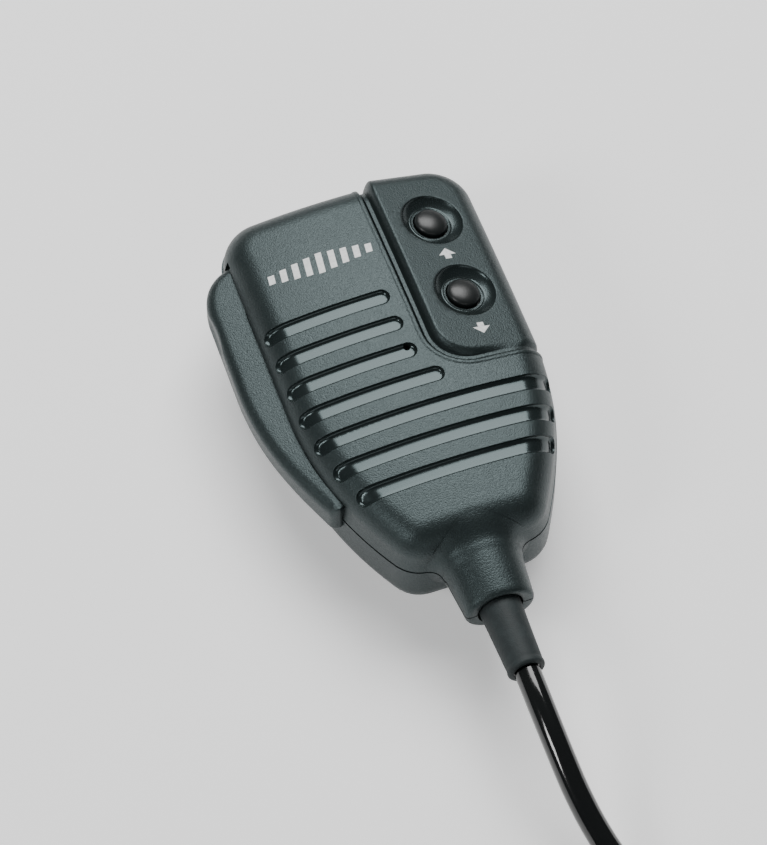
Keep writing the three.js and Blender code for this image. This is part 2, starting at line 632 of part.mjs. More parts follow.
function pttLever() {
  let lever = plate(leverOutline(), ptt.lowZ, ptt.topZ);
  lever = lever.add(barZ(ptt.pivotX, ptt.pivotY, ptt.eyeR, ptt.lowZ, ptt.topZ));
  // A rib that works the switch, and a stop that holds the lever behind the rear cover's wall.
  const ribEnd = pttSwitch.left - 2.5;
  const ribY = [pttSwitch.plungerY - 2.5, pttSwitch.plungerY + 2.5];
  lever = lever.add(box([ptt.innerX - 1, ribEnd], ribY, [pttSwitch.plungerZ - 1.5, pttSwitch.plungerZ + 1.5]));
  lever = lever.add(box([body.left + body.wall + 0.4, ptt.innerX], [18, 30], [ptt.lowZ - 3, ptt.lowZ + 1]));
  // A shallow hollow for the thumb on the outer side, near the top.
  const thumb = new THREE.SphereGeometry(24, 24, 16);
  thumb.scale(1, 1, 0.6).translate(ptt.outer - 23, 19, (ptt.lowZ + ptt.topZ) / 2);
  // A pocket that holds the end of the return spring.
  const pocket = barX(spring.y, spring.z, spring.coilR + spring.wireR + fit.rest, ptt.innerX - 1.4, ptt.innerX + 1);
  const pinHole = barZ(ptt.pivotX, ptt.pivotY, pivotPin.r + fit.bore, ptt.lowZ - 1, ptt.topZ + 1);
  return cut(lever, solid(thumb), pocket, pinHole);
}
node("ptt_lever", pttLever(), caseBlack);
node("ptt_pivot_pin", barZ(ptt.pivotX, ptt.pivotY, pivotPin.r, pivotPin.low, pivotPin.high), steel);

function returnSpring() {
  const [from, to] = [ptt.innerX - 1.4 + spring.wireR + 0.1, spring.seatX - spring.wireR - 0.1];
  const points = [];
  const perTurn = 8;
  for (let i = 0; i <= spring.turns * perTurn; i++) {
    const angle = (2 * Math.PI * i) / perTurn;
    const x = THREE.MathUtils.lerp(from, to, i / (spring.turns * perTurn));
    points.push([x, spring.y + spring.coilR * Math.cos(angle), spring.z + spring.coilR * Math.sin(angle)]);
  }
  return tube(points, spring.wireR, 5, spring.turns * perTurn);
}
node("ptt_return_spring", returnSpring(), steel);

// ---- Circuit board, its switch and its screws ----

const boardTop = board.bottomZ + board.thickness;
const boardSheet = box([board.left, board.right], [board.low, board.high], [board.bottomZ, boardTop]);
const boardHoles = boardPosts.map(([x, y]) => barZ(x, y, 1.4, board.bottomZ - 1, boardTop + 1, 12));
node("circuit_board", cut(boardSheet, ...boardHoles), boardGreen);
boardPosts.forEach(([x, y], i) => {
  const seat = boardTop + fit.rest;
  const screw = barZ(x, y, 2.4, seat, seat + 1.5, 16).add(barZ(x, y, 1.1, board.bottomZ - 4, seat, 12));
  node(`board_screw_${i + 1}`, screw, steel);
});

const switchLow = boardTop + fit.rest;
const switchBlock = box([pttSwitch.left, pttSwitch.right], [pttSwitch.low, pttSwitch.high], [switchLow, switchLow + pttSwitch.height]);
const switchWell = barX(pttSwitch.plungerY, pttSwitch.plungerZ, pttSwitch.plungerR + fit.rest, pttSwitch.left - 1, pttSwitch.left + 3.6);
node("ptt_switch", cut(switchBlock, switchWell), keyBlack);
const plungerTip = pttSwitch.left - 2.2;
node("ptt_switch_plunger", barX(pttSwitch.plungerY, pttSwitch.plungerZ, pttSwitch.plungerR, plungerTip, plungerTip + 3.8), steel);

// ---- Microphone capsule ----

const capsuleRoof = crownZ(capsule.x, capsule.y) - body.wall;
const feltLow = capsuleRoof - fit.rest - capsule.feltT;
node("dust_felt", barZ(capsule.x, capsule.y, capsule.r, feltLow, capsuleRoof - fit.rest, 24), feltGrey);
const capsuleTop = feltLow - fit.rest;
node("mic_capsule", barZ(capsule.x, capsule.y, capsule.r, capsuleTop - capsule.height, capsuleTop, 24), steel);
const bootIn = capsule.r + fit.rest;
const bootLow = capsuleTop - capsule.height - fit.rest - 1;
node("capsule_boot", turnedZ(capsule.x, capsule.y, [
  [bootIn, capsuleRoof - fit.rest], [bootIn, bootLow + 1], [2.4, bootLow + 1], [2.4, bootLow],
  [bootIn + capsule.bootT, bootLow], [bootIn + capsule.bootT, capsuleRoof - fit.rest],
], 24), softBlack);

// ---- Hang-up stud ----

const studTop = body.backZ - fit.rest;
const studShape = turnedZ(0, 0, [
  [0, 0], [stud.r - 0.5, 0], [stud.r, 0.5], [stud.r, stud.flange - 0.4], [stud.r - 0.4, stud.flange],
  [stud.neckR, stud.flange + 0.6], [stud.neckR, studTop], [0, studTop],
], 28);
node("hanger_stud", cut(studShape, barZ(0, 0, stud.screwR + fit.screwHole, 1.5, studTop + 1)), caseBlack);
const floorTop = body.backZ + body.wall;
const washerLow = floorTop + fit.rest;
const washerRing = barZ(0, 0, stud.washerR, washerLow, washerLow + stud.washerT);
node("stud_washer", cut(washerRing, barZ(0, 0, stud.screwR + fit.screwHole, washerLow - 1, washerLow + 3)), steel);
const headLow = washerLow + stud.washerT + fit.rest;
const studScrew = barZ(0, 0, stud.headR, headLow, headLow + stud.headT).add(barZ(0, 0, stud.screwR, 1.8, headLow));
node("stud_screw", studScrew, steel);

// ---- Case screws ----

casePosts.forEach(([x, y], i) => {
  const seat = caseScrew.seatZ - fit.rest;
  const head = barZ(x, y, caseScrew.headR, seat - caseScrew.headT, seat, 20);
  const cross = [0, 90].map((turn) => {
    const bar = new THREE.BoxGeometry(3, 0.6, 1.6);
    bar.rotateZ(THREE.MathUtils.degToRad(turn + 20 * i)).translate(x, y, seat - caseScrew.headT);
    return solid(bar);
  });
  const shank = barZ(x, y, caseScrew.r, seat, caseScrew.tipZ, 12);
  node(`case_screw_${i + 1}`, cut(head, ...cross).add(shank), steel);
});

// ---- Strain relief, cord clamp and the wires inside ----

const reliefBore = cordR + fit.rest;
const reliefNeckY = neck.endY;
node("strain_relief", turnedY(0, body.partZ, [
  [reliefBore, relief.startY], [relief.flangeR, relief.startY], [relief.flangeR, relief.startY - relief.flangeT],
  [relief.rootR, relief.startY - relief.flangeT], [relief.rootR, reliefNeckY], [relief.rootR + 0.15, reliefNeckY - 0.6],
  [relief.endR, relief.endY + 0.5], [relief.endR - 0.4, relief.endY], [reliefBore, relief.endY],
]), softBlack);
node("inner_cord", barY(0, body.partZ, cordR, relief.endY + fit.rest, innerCord.startY, 20), cordBlack);

const clampLow = body.partZ + cordR + fit.rest;
const clampBar = box([-clamp.half, clamp.half], [clamp.y - clamp.width / 2, clamp.y + clamp.width / 2], [clampLow, clampLow + clamp.thickness]);
const clampHoles = [-1, 1].map((side) => barZ(side * clamp.screwX, clamp.y, clamp.screwR + fit.screwHole, clampLow - 1, clampLow + 4, 12));
node("cord_clamp", cut(clampBar, ...clampHoles), steel);
[-1, 1].forEach((side, i) => {
  const seat = clampLow + clamp.thickness + fit.rest;
  const head = barZ(side * clamp.screwX, clamp.y, clamp.headR, seat, seat + clamp.headT, 16);
  const shank = barZ(side * clamp.screwX, clamp.y, clamp.screwR, body.backZ + body.wall + 2, seat, 12);
  node(`clamp_screw_${i + 1}`, head.add(shank), steel);
});

for (let i = 0; i < leads.count; i++) {
  const place = i - (leads.count - 1) / 2;
  const startY = innerCord.startY + fit.rest;
  const z = boardTop + fit.rest + leads.r;
  node(`lead_${i + 1}`, tube([
    [place * leads.spacing * 0.85, startY, body.partZ], [place * leads.spacing, startY + 5, body.partZ + 0.6],
    [place * leads.boardSpacing * 0.8, startY + 13, z + 1.6], [place * leads.boardSpacing, leads.boardY, z],
    [place * leads.boardSpacing, leads.boardY + 3, z],
  ], leads.r, 6, 12), leadColours[i]);
}

// Two wires from the capsule down to the board, and three from the board up to the button board.
[-1, 1].forEach((side, i) => {
  const x = capsule.x + side * capsuleLead.spread;
  const top = capsuleTop - capsule.height - fit.rest;
  node(`capsule_lead_${i + 1}`, tube([
    [x, capsule.y, top], [x, capsule.y, top - 1.6], [x + side, capsule.y - 1, top - 3.4],
    [x + 2 * side, capsule.y - 2.5, boardTop + fit.rest],
  ], capsuleLead.r, 6, 8), leadColours[i]);
});
for (let i = 0; i < jumper.count; i++) {
  const y = jumper.y + (i - (jumper.count - 1) / 2) * jumper.spacing;
  node(`board_jumper_${i + 1}`, barZ(jumper.x, y, jumper.r, boardTop + fit.rest, jumper.top, 8), leadColours[3 - i]);
}

// ---- Cord outside the case ----

node("cord_mic_tail", tube(micTailPoints, cordR, 10, 12), cordBlack);

// The curly stretch lies as one tube of its outer diameter: out, round a half turn and back.
function curlTube() {
  const [outX, backX] = curl.legX;
  const [middleX, turnR] = [(outX + backX) / 2, (outX - backX) / 2];
  const points = [];
  for (const share of [0, 0.2, 0.4, 0.6, 0.8]) {
    points.push([outX, THREE.MathUtils.lerp(curl.startY, curl.turnY, share), curl.outerR]);
  }
  for (let i = 0; i <= 8; i++) {
    const angle = (Math.PI * i) / 8;
    points.push([middleX + turnR * Math.cos(angle), curl.turnY - turnR * Math.sin(angle), curl.outerR]);
  }
  for (const share of [0.33, 0.66, 1]) {
    points.push([backX, THREE.MathUtils.lerp(curl.turnY, curl.endY, share), curl.outerR]);
  }
  return tube(points, curl.outerR, 12, 34);
}
node("cord_curl", curlTube(), cordBlack);

// ---- Plug ----

const plugX = curl.legX[1];
const ringLow = plug.faceY - plug.ringLength;
const bodyTopY = ringLow + 7;
const bodyLowY = bodyTopY - plug.bodyLength;
const bootLowY = bodyLowY - plug.bootLength;
const bodyBore = plug.bodyR - plug.bodyWall;

// The coupling ring turns on the plug body, held between the body's collar and its own inner lip.
function couplingRing() {
  const ring = turnedY(plugX, plug.z, [
    [plug.ringR - 0.5, plug.faceY], [plug.ringBore, plug.faceY], [plug.ringBore, ringLow + 2],
    [plug.bodyR + fit.slide, ringLow + 2], [plug.bodyR + fit.slide, ringLow],
    [plug.ringR - 0.5, ringLow], [plug.ringR, ringLow + 0.5], [plug.ringR, plug.faceY - 0.5],
  ], 32);
  return ring;
}
node("plug_coupling_ring", couplingRing(), chrome);

const sleeve = turnedY(plugX, plug.z, [
  [bodyBore, bodyTopY], [plug.bodyR, bodyTopY], [plug.bodyR, bodyLowY + 1.5], [plug.bodyR - 1.2, bodyLowY],
  [plug.bootR + fit.rest, bodyLowY], [plug.bootR + fit.rest, bodyLowY + 1.5], [bodyBore, bodyLowY + 1.5],
]);
const screwSides = [-1, 1];
const screwY = bodyLowY + 8;
const sideHoles = screwSides.map((side) => {
  const x = [plugX + side * (bodyBore - 1), plugX + side * (plug.bodyR + 1)].sort((a, b) => a - b);
  return barX(screwY, plug.z, plug.screwR + fit.screwHole, x[0], x[1]);
});
node("plug_body", cut(sleeve, ...sideHoles), chrome);
screwSides.forEach((side, i) => {
  const x = [plugX + side * (bodyBore - 0.8), plugX + side * (plug.bodyR + 0.1)].sort((a, b) => a - b);
  node(`plug_screw_${i + 1}`, barX(screwY, plug.z, plug.screwR, x[0], x[1]), steel);
});

const insertTopY = plug.faceY - 1;
const insertLowY = insertTopY - plug.insertLength;
const insertR = Math.min(plug.insertR, bodyBore - fit.rest);
const contactSpots = Array.from({ length: plug.contactCount }, (_, i) => {
  const angle = (2 * Math.PI * (i + 0.5)) / plug.contactCount;
  return [plugX + plug.contactCircle * Math.cos(angle), plug.z + plug.contactCircle * Math.sin(angle)];
});
const insertHoles = contactSpots.map(([x, z]) => barY(x, z, plug.contactR + fit.rest, insertLowY - 1, insertTopY + 1, 14));
node("plug_insert", cut(barY(plugX, plug.z, insertR, insertLowY, insertTopY, 32), ...insertHoles), keyBlack);
contactSpots.forEach(([x, z], i) => {
  const pin = barY(x, z, plug.contactR, insertLowY - 2, insertTopY - 0.4, 14);
  const bore = barY(x, z, plug.contactBore, insertTopY - 7, insertTopY + 1, 10);
  node(`plug_contact_${i + 1}`, cut(pin, bore), brass);
});

const bootHeadY = bodyLowY + 1.5 + fit.rest;
node("plug_boot", turnedY(plugX, plug.z, [
  [cordR + fit.rest, bootHeadY + plug.bootInside], [bodyBore - fit.rest, bootHeadY + plug.bootInside],
  [bodyBore - fit.rest, bootHeadY], [plug.bootR, bootHeadY], [plug.bootR, bodyLowY - 0.5],
  [plug.bootEndR, bootLowY], [cordR + fit.rest, bootLowY],
]), softBlack);

node("cord_plug_tail", tube([
  [plugX, curl.endY + fit.rest, plug.z - 4.4], [plugX, curl.endY + 6, plug.z - 4.2], [plugX, curl.endY + 13, plug.z - 2.6],
  [plugX, bootLowY - 8, plug.z - 0.9], [plugX, bootLowY - 3, plug.z], [plugX, bootLowY + 6, plug.z],
  [plugX, bootHeadY + plug.bootInside - 1, plug.z],
], cordR, 10, 16), cordBlack);

export default microphone;
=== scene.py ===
"""Looks of the hand microphone: its mouldings, keys, lever, rubber parts, curly cord and plug."""

import json
import math

import bmesh
import bpy
import numpy as np
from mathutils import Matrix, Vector
from mathutils.geometry import delaunay_2d_cdt

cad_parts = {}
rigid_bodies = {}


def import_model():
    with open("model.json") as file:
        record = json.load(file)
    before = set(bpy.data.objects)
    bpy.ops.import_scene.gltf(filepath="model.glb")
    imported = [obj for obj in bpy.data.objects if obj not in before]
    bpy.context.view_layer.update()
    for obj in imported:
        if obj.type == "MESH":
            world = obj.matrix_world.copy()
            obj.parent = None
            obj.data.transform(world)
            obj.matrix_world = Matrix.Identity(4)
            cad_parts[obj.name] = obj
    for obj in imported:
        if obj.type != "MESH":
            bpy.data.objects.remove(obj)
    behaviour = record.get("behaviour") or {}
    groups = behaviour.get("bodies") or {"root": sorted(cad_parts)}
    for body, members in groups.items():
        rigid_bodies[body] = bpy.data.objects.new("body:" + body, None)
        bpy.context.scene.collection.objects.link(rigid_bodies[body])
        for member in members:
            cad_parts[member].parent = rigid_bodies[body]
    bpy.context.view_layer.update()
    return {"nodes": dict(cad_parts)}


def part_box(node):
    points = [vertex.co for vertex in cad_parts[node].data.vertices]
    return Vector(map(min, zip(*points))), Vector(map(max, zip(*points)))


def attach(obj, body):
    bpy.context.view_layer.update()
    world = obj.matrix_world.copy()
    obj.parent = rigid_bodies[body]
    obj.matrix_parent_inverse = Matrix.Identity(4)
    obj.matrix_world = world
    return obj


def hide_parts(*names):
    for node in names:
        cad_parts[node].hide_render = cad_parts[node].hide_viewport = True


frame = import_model()


# ---- Floor, lights and camera ----
# The microphone lies on its back on a plain white sweep under one large soft light from above, with two
# small ones on its left and past its foot. The air round it is dark and draws dark bands on its edges.
MM = 0.001
VIEW_AZIMUTH, VIEW_ELEVATION = 19.7, 58.5
VIEW_DISTANCE, VIEW_LENS, SENSOR_WIDTH = 1.0903, 208.8, 36
VIEW_TARGET = Vector((-9.7, -19.3, 28.9)) * MM


def toward(azimuth, elevation):
    """The way from the microphone to a place. Azimuth goes from its foot to its left."""
    a, e = math.radians(azimuth), math.radians(elevation)
    return Vector((-math.cos(e) * math.sin(a), -math.cos(e) * math.cos(a), math.sin(e)))


def aim(obj, direction):
    obj.rotation_euler = direction.to_track_quat("Z", "Y").to_euler()


camera = bpy.data.objects.new("camera", bpy.data.cameras.new("camera"))
bpy.context.scene.collection.objects.link(camera)
camera.location = VIEW_TARGET + toward(VIEW_AZIMUTH, VIEW_ELEVATION) * VIEW_DISTANCE
aim(camera, toward(VIEW_AZIMUTH, VIEW_ELEVATION))
camera.data.lens = VIEW_LENS
camera.data.sensor_width = SENSOR_WIDTH
camera.data.clip_start = 0.01
bpy.context.scene.camera = camera


def soft_light(name, azimuth, elevation, distance, size, watts):
    light = bpy.data.objects.new(name, bpy.data.lights.new(name, "AREA"))
    bpy.context.scene.collection.objects.link(light)
    light.data.shape = "RECTANGLE"
    light.data.size, light.data.size_y = size
    light.data.energy = watts
    light.location = toward(azimuth, elevation) * distance
    aim(light, toward(azimuth, elevation))


soft_light("overhead_light", 200, 58, 1.5, (1.3, 1.0), 33)
soft_light("left_light", 75, 38, 1.4, (0.3, 0.4), 6)
soft_light("front_light", 10, 22, 1.6, (1.2, 0.3), 3)

world = bpy.data.worlds.new("air")
bpy.context.scene.world = world
world.use_nodes = True
world.node_tree.nodes["Background"].inputs[0].default_value = (0.05, 0.053, 0.056, 1)

FLOOR_HALF, FLOOR_Z = 4, -0.0002
floor_mesh = bpy.data.meshes.new("floor")
corners = [(x * FLOOR_HALF, y * FLOOR_HALF, FLOOR_Z) for x, y in ((-1, -1), (1, -1), (1, 1), (-1, 1))]
floor_mesh.from_pydata(corners, [], [(0, 1, 2, 3)])
floor = bpy.data.objects.new("floor", floor_mesh)
bpy.context.scene.collection.objects.link(floor)


# ---- Materials ----
# Grained and smooth black plastic, rubber, glossy cord jacket, three bare metals and plain coatings, all
# procedural. Shade lets their maths be written with ordinary operators.
class Shade:
    """A socket in a material. Operators on it add Math nodes."""

    def __init__(self, tree, socket):
        self.tree, self.socket = tree, socket

    def node(self, kind, settings=(), out=0, **values):
        made = self.tree.nodes.new(kind)
        for key, value in dict(settings).items():
            setattr(made, key, value)
        for key, value in values.items():
            socket = made.inputs[int(key[1:])] if key[1:].isdigit() else made.inputs[key.replace("_", " ")]
            if isinstance(value, Shade):
                self.tree.links.new(value.socket, socket)
            else:
                socket.default_value = value
        return Shade(self.tree, made.outputs[out])

    def math(self, operation, first, second=0.0):
        return self.node("ShaderNodeMath", {"operation": operation}, i0=first, i1=second)

    def __add__(self, other):
        return self.math("ADD", self, other)

    def __mul__(self, other):
        return self.math("MULTIPLY", self, other)

    def __sub__(self, other):
        return self.math("SUBTRACT", self, other)

    def __rsub__(self, other):
        return self.math("SUBTRACT", other, self)

    __radd__, __rmul__ = __add__, __mul__

    def mix(self, low, high):
        """The colour low where this is 0 and high where it is 1."""
        mixer = self.tree.nodes.new("ShaderNodeMix")
        mixer.data_type = "RGBA"
        self.tree.links.new(self.socket, mixer.inputs[0])
        for socket, value in ((mixer.inputs[6], low), (mixer.inputs[7], high)):
            if isinstance(value, Shade):
                self.tree.links.new(value.socket, socket)
            else:
                socket.default_value = (*value, 1)
        return Shade(self.tree, mixer.outputs[2])

    def ramp(self, low, high):
        """0 below low, 1 above high, straight between."""
        return self.node("ShaderNodeMapRange", i0=self, i1=low, i2=high)


def material(name, colour, rough, metal=0.0, coat=0.0, specular=0.5):
    """A new material, its shader and the object's own coordinates."""
    made = bpy.data.materials.new(name)
    made.use_nodes = True
    tree = made.node_tree
    shader = tree.nodes["Principled BSDF"]
    shader.inputs["Base Color"].default_value = (*colour, 1)
    shader.inputs["Roughness"].default_value = rough
    shader.inputs["Metallic"].default_value = metal
    shader.inputs["Coat Weight"].default_value = coat
    shader.inputs["Specular IOR Level"].default_value = specular
    place = Shade(tree, None).node("ShaderNodeTexCoord", out=3)
    return made, shader, place


def feed(shader, name, value):
    value.tree.links.new(value.socket, shader.inputs[name])


def noise(place, scale, detail=2.0, rough=0.5):
    return place.node("ShaderNodeTexNoise", Vector=place, Scale=scale, Detail=detail, Roughness=rough)


def bump(shader, height, depth, strength=1.0):
    """Raises the surface where height is high, by depth metres."""
    feed(shader, "Normal", height.node("ShaderNodeBump", Height=height, Distance=depth, Strength=strength))


def moulded_plastic():
    """Black ABS with a fine spark-eroded grain, left polished where an attribute says so."""
    made, shader, place = material("moulded_plastic", (0.012, 0.016, 0.016), 0.44)
    shader.inputs["Specular Tint"].default_value = (0.78, 0.98, 1.0, 1)
    polished = place.node("ShaderNodeAttribute", {"attribute_name": "polished"}, out=2)
    grain = noise(place, 3300, 1.0) * 0.75 + noise(place, 1700, 1.0) * 0.25
    cloud = noise(place, 45, 3.0)
    feed(shader, "Base Color", cloud.ramp(0.3, 0.7).mix((0.010, 0.014, 0.014), (0.014, 0.019, 0.019)))
    dull = 0.33 + grain.ramp(0.35, 0.65) * 0.12 + cloud * 0.04
    feed(shader, "Roughness", dull * (1 - polished) + 0.22 * polished)
    bump(shader, grain * (1 - polished), 0.00011)
    return made


def smooth_plastic():
    """The same black plastic from a polished part of the mould, as on keys and connector bodies."""
    made, shader, place = material("smooth_plastic", (0.010, 0.012, 0.012), 0.28)
    cloud = noise(place, 160, 3.0)
    feed(shader, "Roughness", 0.30 + cloud * 0.12)
    bump(shader, noise(place, 900, 2.0), 0.000012)
    return made


def soft_rubber():
    """Matte black rubber, a little dusty."""
    made, shader, place = material("soft_rubber", (0.015, 0.021, 0.022), 0.62, specular=0.35)
    dust = noise(place, 420, 4.0, 0.6)
    feed(shader, "Base Color", dust.ramp(0.45, 0.75).mix((0.014, 0.020, 0.021), (0.022, 0.031, 0.032)))
    feed(shader, "Roughness", 0.55 + dust * 0.15)
    bump(shader, noise(place, 2400, 2.0), 0.00006)
    return made


def cord_jacket():
    """Glossy black polyurethane, drawn smooth, with faint waves along it."""
    made, shader, place = material("cord_jacket", (0.008, 0.009, 0.009), 0.12, coat=0.3)
    wave = noise(place, 240, 2.0)
    feed(shader, "Roughness", 0.09 + wave * 0.08)
    bump(shader, wave, 0.00005)
    return made


def bright_metal(name, colour, rough, scratch):
    """Plated or turned metal with fine scratches and a little unevenness."""
    made, shader, place = material(name, colour, rough, metal=1.0)
    fine = noise(place, 2200, 3.0, 0.7)
    feed(shader, "Roughness", rough + fine.ramp(0.3, 0.8) * scratch)
    bump(shader, fine, 0.000006)
    return made


def plain_coating(name, colour, rough, scale=600):
    """Paint, solder mask, wire jacket or felt: one colour with a slight mottle and unevenness."""
    made, shader, place = material(name, colour, rough)
    mottle = noise(place, scale, 3.0)
    darker = tuple(0.8 * c for c in colour)
    feed(shader, "Base Color", mottle.ramp(0.35, 0.65).mix(darker, colour))
    feed(shader, "Roughness", rough - 0.05 + mottle * 0.1)
    bump(shader, mottle, 0.00002)
    return made


CASE, KEYS, RUBBER, JACKET = moulded_plastic(), smooth_plastic(), soft_rubber(), cord_jacket()
ZINC = bright_metal("zinc_plate", (0.55, 0.56, 0.57), 0.28, 0.15)
CHROME = bright_metal("chrome_plate", (0.78, 0.79, 0.81), 0.07, 0.08)
BRASS = bright_metal("bare_brass", (0.72, 0.50, 0.18), 0.22, 0.12)
sweep, sweep_shader, _ = material("white_sweep", (0.9, 0.9, 0.9), 0.85)
sweep_shader.inputs["Emission Color"].default_value = (1, 1, 1, 1)
sweep_shader.inputs["Emission Strength"].default_value = 0.35
floor_mesh.materials.append(sweep)


# ---- Cord ----
# A round four-core cord in one glossy jacket, six millimetres thick. It leaves the strain relief,
# comes down to the surface, and is set into a springy helix that lies doubled back beside its plug.
CORD_R, CORD_SIDES, CORD_STEP, TAIL_STEP, CURL_POINTS = 3.0, 14, 1.3, 0.3, 120
CURL_AXIS_Z, CURL_R, CURL_PITCH, BEND_PITCH, RUN_IN = 8.5, 5.45, 6.3, 9.4, 13.0
LEG_OUT, LEG_BACK, LEG_START, LEG_TURN, LEG_END = 14.0, -20.0, -150.0, -320.0, -222.0
PLUG_Z = 9.3
mic_tail = [
    (0, -85.3, 21), (0, -92, 20.4), (0.2, -99, 18.8), (0.6, -106, 16.4), (1.3, -113, 13.4), (2.6, -120, 10.2),
    (4.6, -127, 7.2), (7.4, -133, 5), (10.6, -138.8, 3.9), (13.2, -144.2, 3.5), (14, -149.2, 3.2),
]
plug_tail = [
    (-20, -221.7, 4.9), (-20, -216, 5.1), (-20, -209, 6.7), (-20, -186, 8.4), (-20, -181, 9.3),
    (-20, -172, 9.3), (-20, -158.2, 9.3),
]


def smooth_line(points, step):
    """Catmull-Rom through the points, sampled about every step."""
    p = np.array(points, float)
    ends = np.vstack([2 * p[0] - p[1], p, 2 * p[-1] - p[-2]])
    out = []
    for i in range(1, len(ends) - 2):
        a, b, c, d = ends[i - 1:i + 3]
        count = max(2, int(np.linalg.norm(c - b) / step))
        t = np.linspace(0, 1, count, endpoint=False)[:, None]
        square, cube = 2 * a - 5 * b + 4 * c - d, 3 * b - a - 3 * c + d
        out.append(0.5 * (2 * b + (c - a) * t + square * t**2 + cube * t**3))
    return np.vstack([*out, p[-1:]])


def curl_line(per_turn):
    """The helix round the doubled axis: out along one leg, round the bend, back along the other."""
    middle, turn_r = (LEG_OUT + LEG_BACK) / 2, (LEG_OUT - LEG_BACK) / 2
    out_leg, bend = LEG_START - LEG_TURN, math.pi * turn_r
    total = out_leg + bend + (LEG_END - LEG_TURN)
    s = np.linspace(0, total, 4000)
    near_bend = np.clip(1 - np.abs(s - out_leg - bend / 2) / (bend / 2 + 14), 0, 1)
    pitch = CURL_PITCH + (BEND_PITCH - CURL_PITCH) * np.clip(near_bend * 2.4, 0, 1)
    rate = np.clip(np.minimum(s, total - s) / RUN_IN, 0, 1) ** 1.5 / pitch
    turns = np.concatenate([[0], np.cumsum((rate[1:] + rate[:-1]) / 2 * np.diff(s))])
    turns *= round(turns[-1]) / turns[-1]
    at = np.interp(np.linspace(0, turns[-1], int(turns[-1] * per_turn)), turns, s)
    edge = np.linspace(0, RUN_IN, 12)
    at = np.unique(np.concatenate([at, edge, total - edge]))
    phase = np.interp(at, s, turns) * 2 * math.pi - math.pi / 2
    theta = np.clip((at - out_leg) / turn_r, 0, math.pi)
    x = middle + turn_r * np.cos(theta)
    y = LEG_TURN - turn_r * np.sin(theta)
    y = y + np.clip(out_leg - at, 0, None) + np.clip(at - out_leg - bend, 0, None)
    axis = np.stack([x, y, np.full_like(x, CURL_AXIS_Z)], 1)
    side = np.stack([np.cos(theta), -np.sin(theta), np.zeros_like(theta)], 1)
    start_r, end_r = CURL_AXIS_Z - 3.2, CURL_AXIS_Z - 4.9
    r = np.interp(at, [0, RUN_IN, total - RUN_IN, total], [start_r, CURL_R, CURL_R, end_r])[:, None]
    return axis + r * (np.cos(phase)[:, None] * side + np.sin(phase)[:, None] * np.array([0, 0, 1]))


def add_piece(name, verts, faces, finish, body, smooth_angle=35):
    """A mesh object at the origin, from millimetres, that rides on a body."""
    mesh = bpy.data.meshes.new(name)
    mesh.from_pydata((np.asarray(verts) * MM).tolist(), [], [tuple(f) for f in faces])
    mesh.validate()
    piece = bpy.data.objects.new(name, mesh)
    bpy.context.scene.collection.objects.link(piece)
    mesh.materials.append(finish)
    mesh.shade_smooth()
    mesh.set_sharp_from_angle(angle=math.radians(smooth_angle))
    if body:
        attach(piece, body)
    return piece


def swept(line, radius, sides):
    """Vertices and faces of a round tube with closed ends along a line; the radius may change along it."""
    line = np.asarray(line)
    along = np.gradient(line, axis=0)
    along /= np.linalg.norm(along, axis=1)[:, None]
    radius = np.broadcast_to(radius, len(line))
    across = np.cross(along[0], [0.3, 0.2, 1])
    across /= np.linalg.norm(across)
    angle = np.linspace(0, 2 * math.pi, sides, endpoint=False)
    rings = []
    for point, direction, r in zip(line, along, radius):
        across = across - direction * across.dot(direction)
        across /= np.linalg.norm(across)
        up = np.cross(direction, across)
        rings.append(point + r * (np.cos(angle)[:, None] * across + np.sin(angle)[:, None] * up))
    verts = np.vstack([*rings, line[:1], line[-1:]])
    faces = grid_faces(len(line), sides, closed=True)
    first, last = len(verts) - 2, len(verts) - 1
    top = (len(line) - 1) * sides
    for i in range(sides):
        j = (i + 1) % sides
        faces += [(first, j, i), (last, top + i, top + j)]
    return verts, faces


def grid_faces(rows, columns, closed):
    faces = []
    for r in range(rows - 1):
        for c in range(columns if closed else columns - 1):
            d = (c + 1) % columns
            faces.append((r * columns + c, r * columns + d, (r + 1) * columns + d, (r + 1) * columns + c))
    return faces


def evened(line, step):
    """The same line with its points about step apart."""
    run = np.concatenate([[0], np.cumsum(np.linalg.norm(np.diff(line, axis=0), axis=1))])
    at = np.linspace(0, run[-1], round(run[-1] / step))
    return np.stack([np.interp(at, run, line[:, i]) for i in range(3)], 1)


first_tail, last_tail = smooth_line(mic_tail, TAIL_STEP)[:-1], smooth_line(plug_tail, TAIL_STEP)[1:]
cord_line = evened(np.vstack([first_tail, curl_line(CURL_POINTS), last_tail]), CORD_STEP)
cord_length = float(np.linalg.norm(np.diff(cord_line, axis=0), axis=1).sum()) * MM
cord_verts, cord_faces = swept(cord_line, CORD_R, CORD_SIDES)
cord = add_piece("cord", cord_verts, cord_faces, JACKET, "microphone", 60)
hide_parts("cord_mic_tail", "cord_curl", "cord_plug_tail")


# ---- Front shell ----
# The front half of the case, moulded in black ABS: a crowned face with a soft shoulder, seven polished
# grooves that run over its edges, a sound hole, and a half neck round the cord. A corner is left open
# for the button panel, and the left wall for the lever.
cover_low, cover_high = (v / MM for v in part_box("rear_cover"))
LEFT, RIGHT, TOP, BACK_Z = cover_low.x, cover_high.x, cover_high.y, cover_low.z
BOTTOM, PART_Z, PART_GAP, CROWN_Z, CROWN_Y = -54.6, 21.0, 0.34, 34.0, -8.7
CORNER, TAPER_Y, FOOT_HALF, FOOT_ROUND, FOOT_SLOPE = 9.5, -10.0, 15.8, 9.0, 60


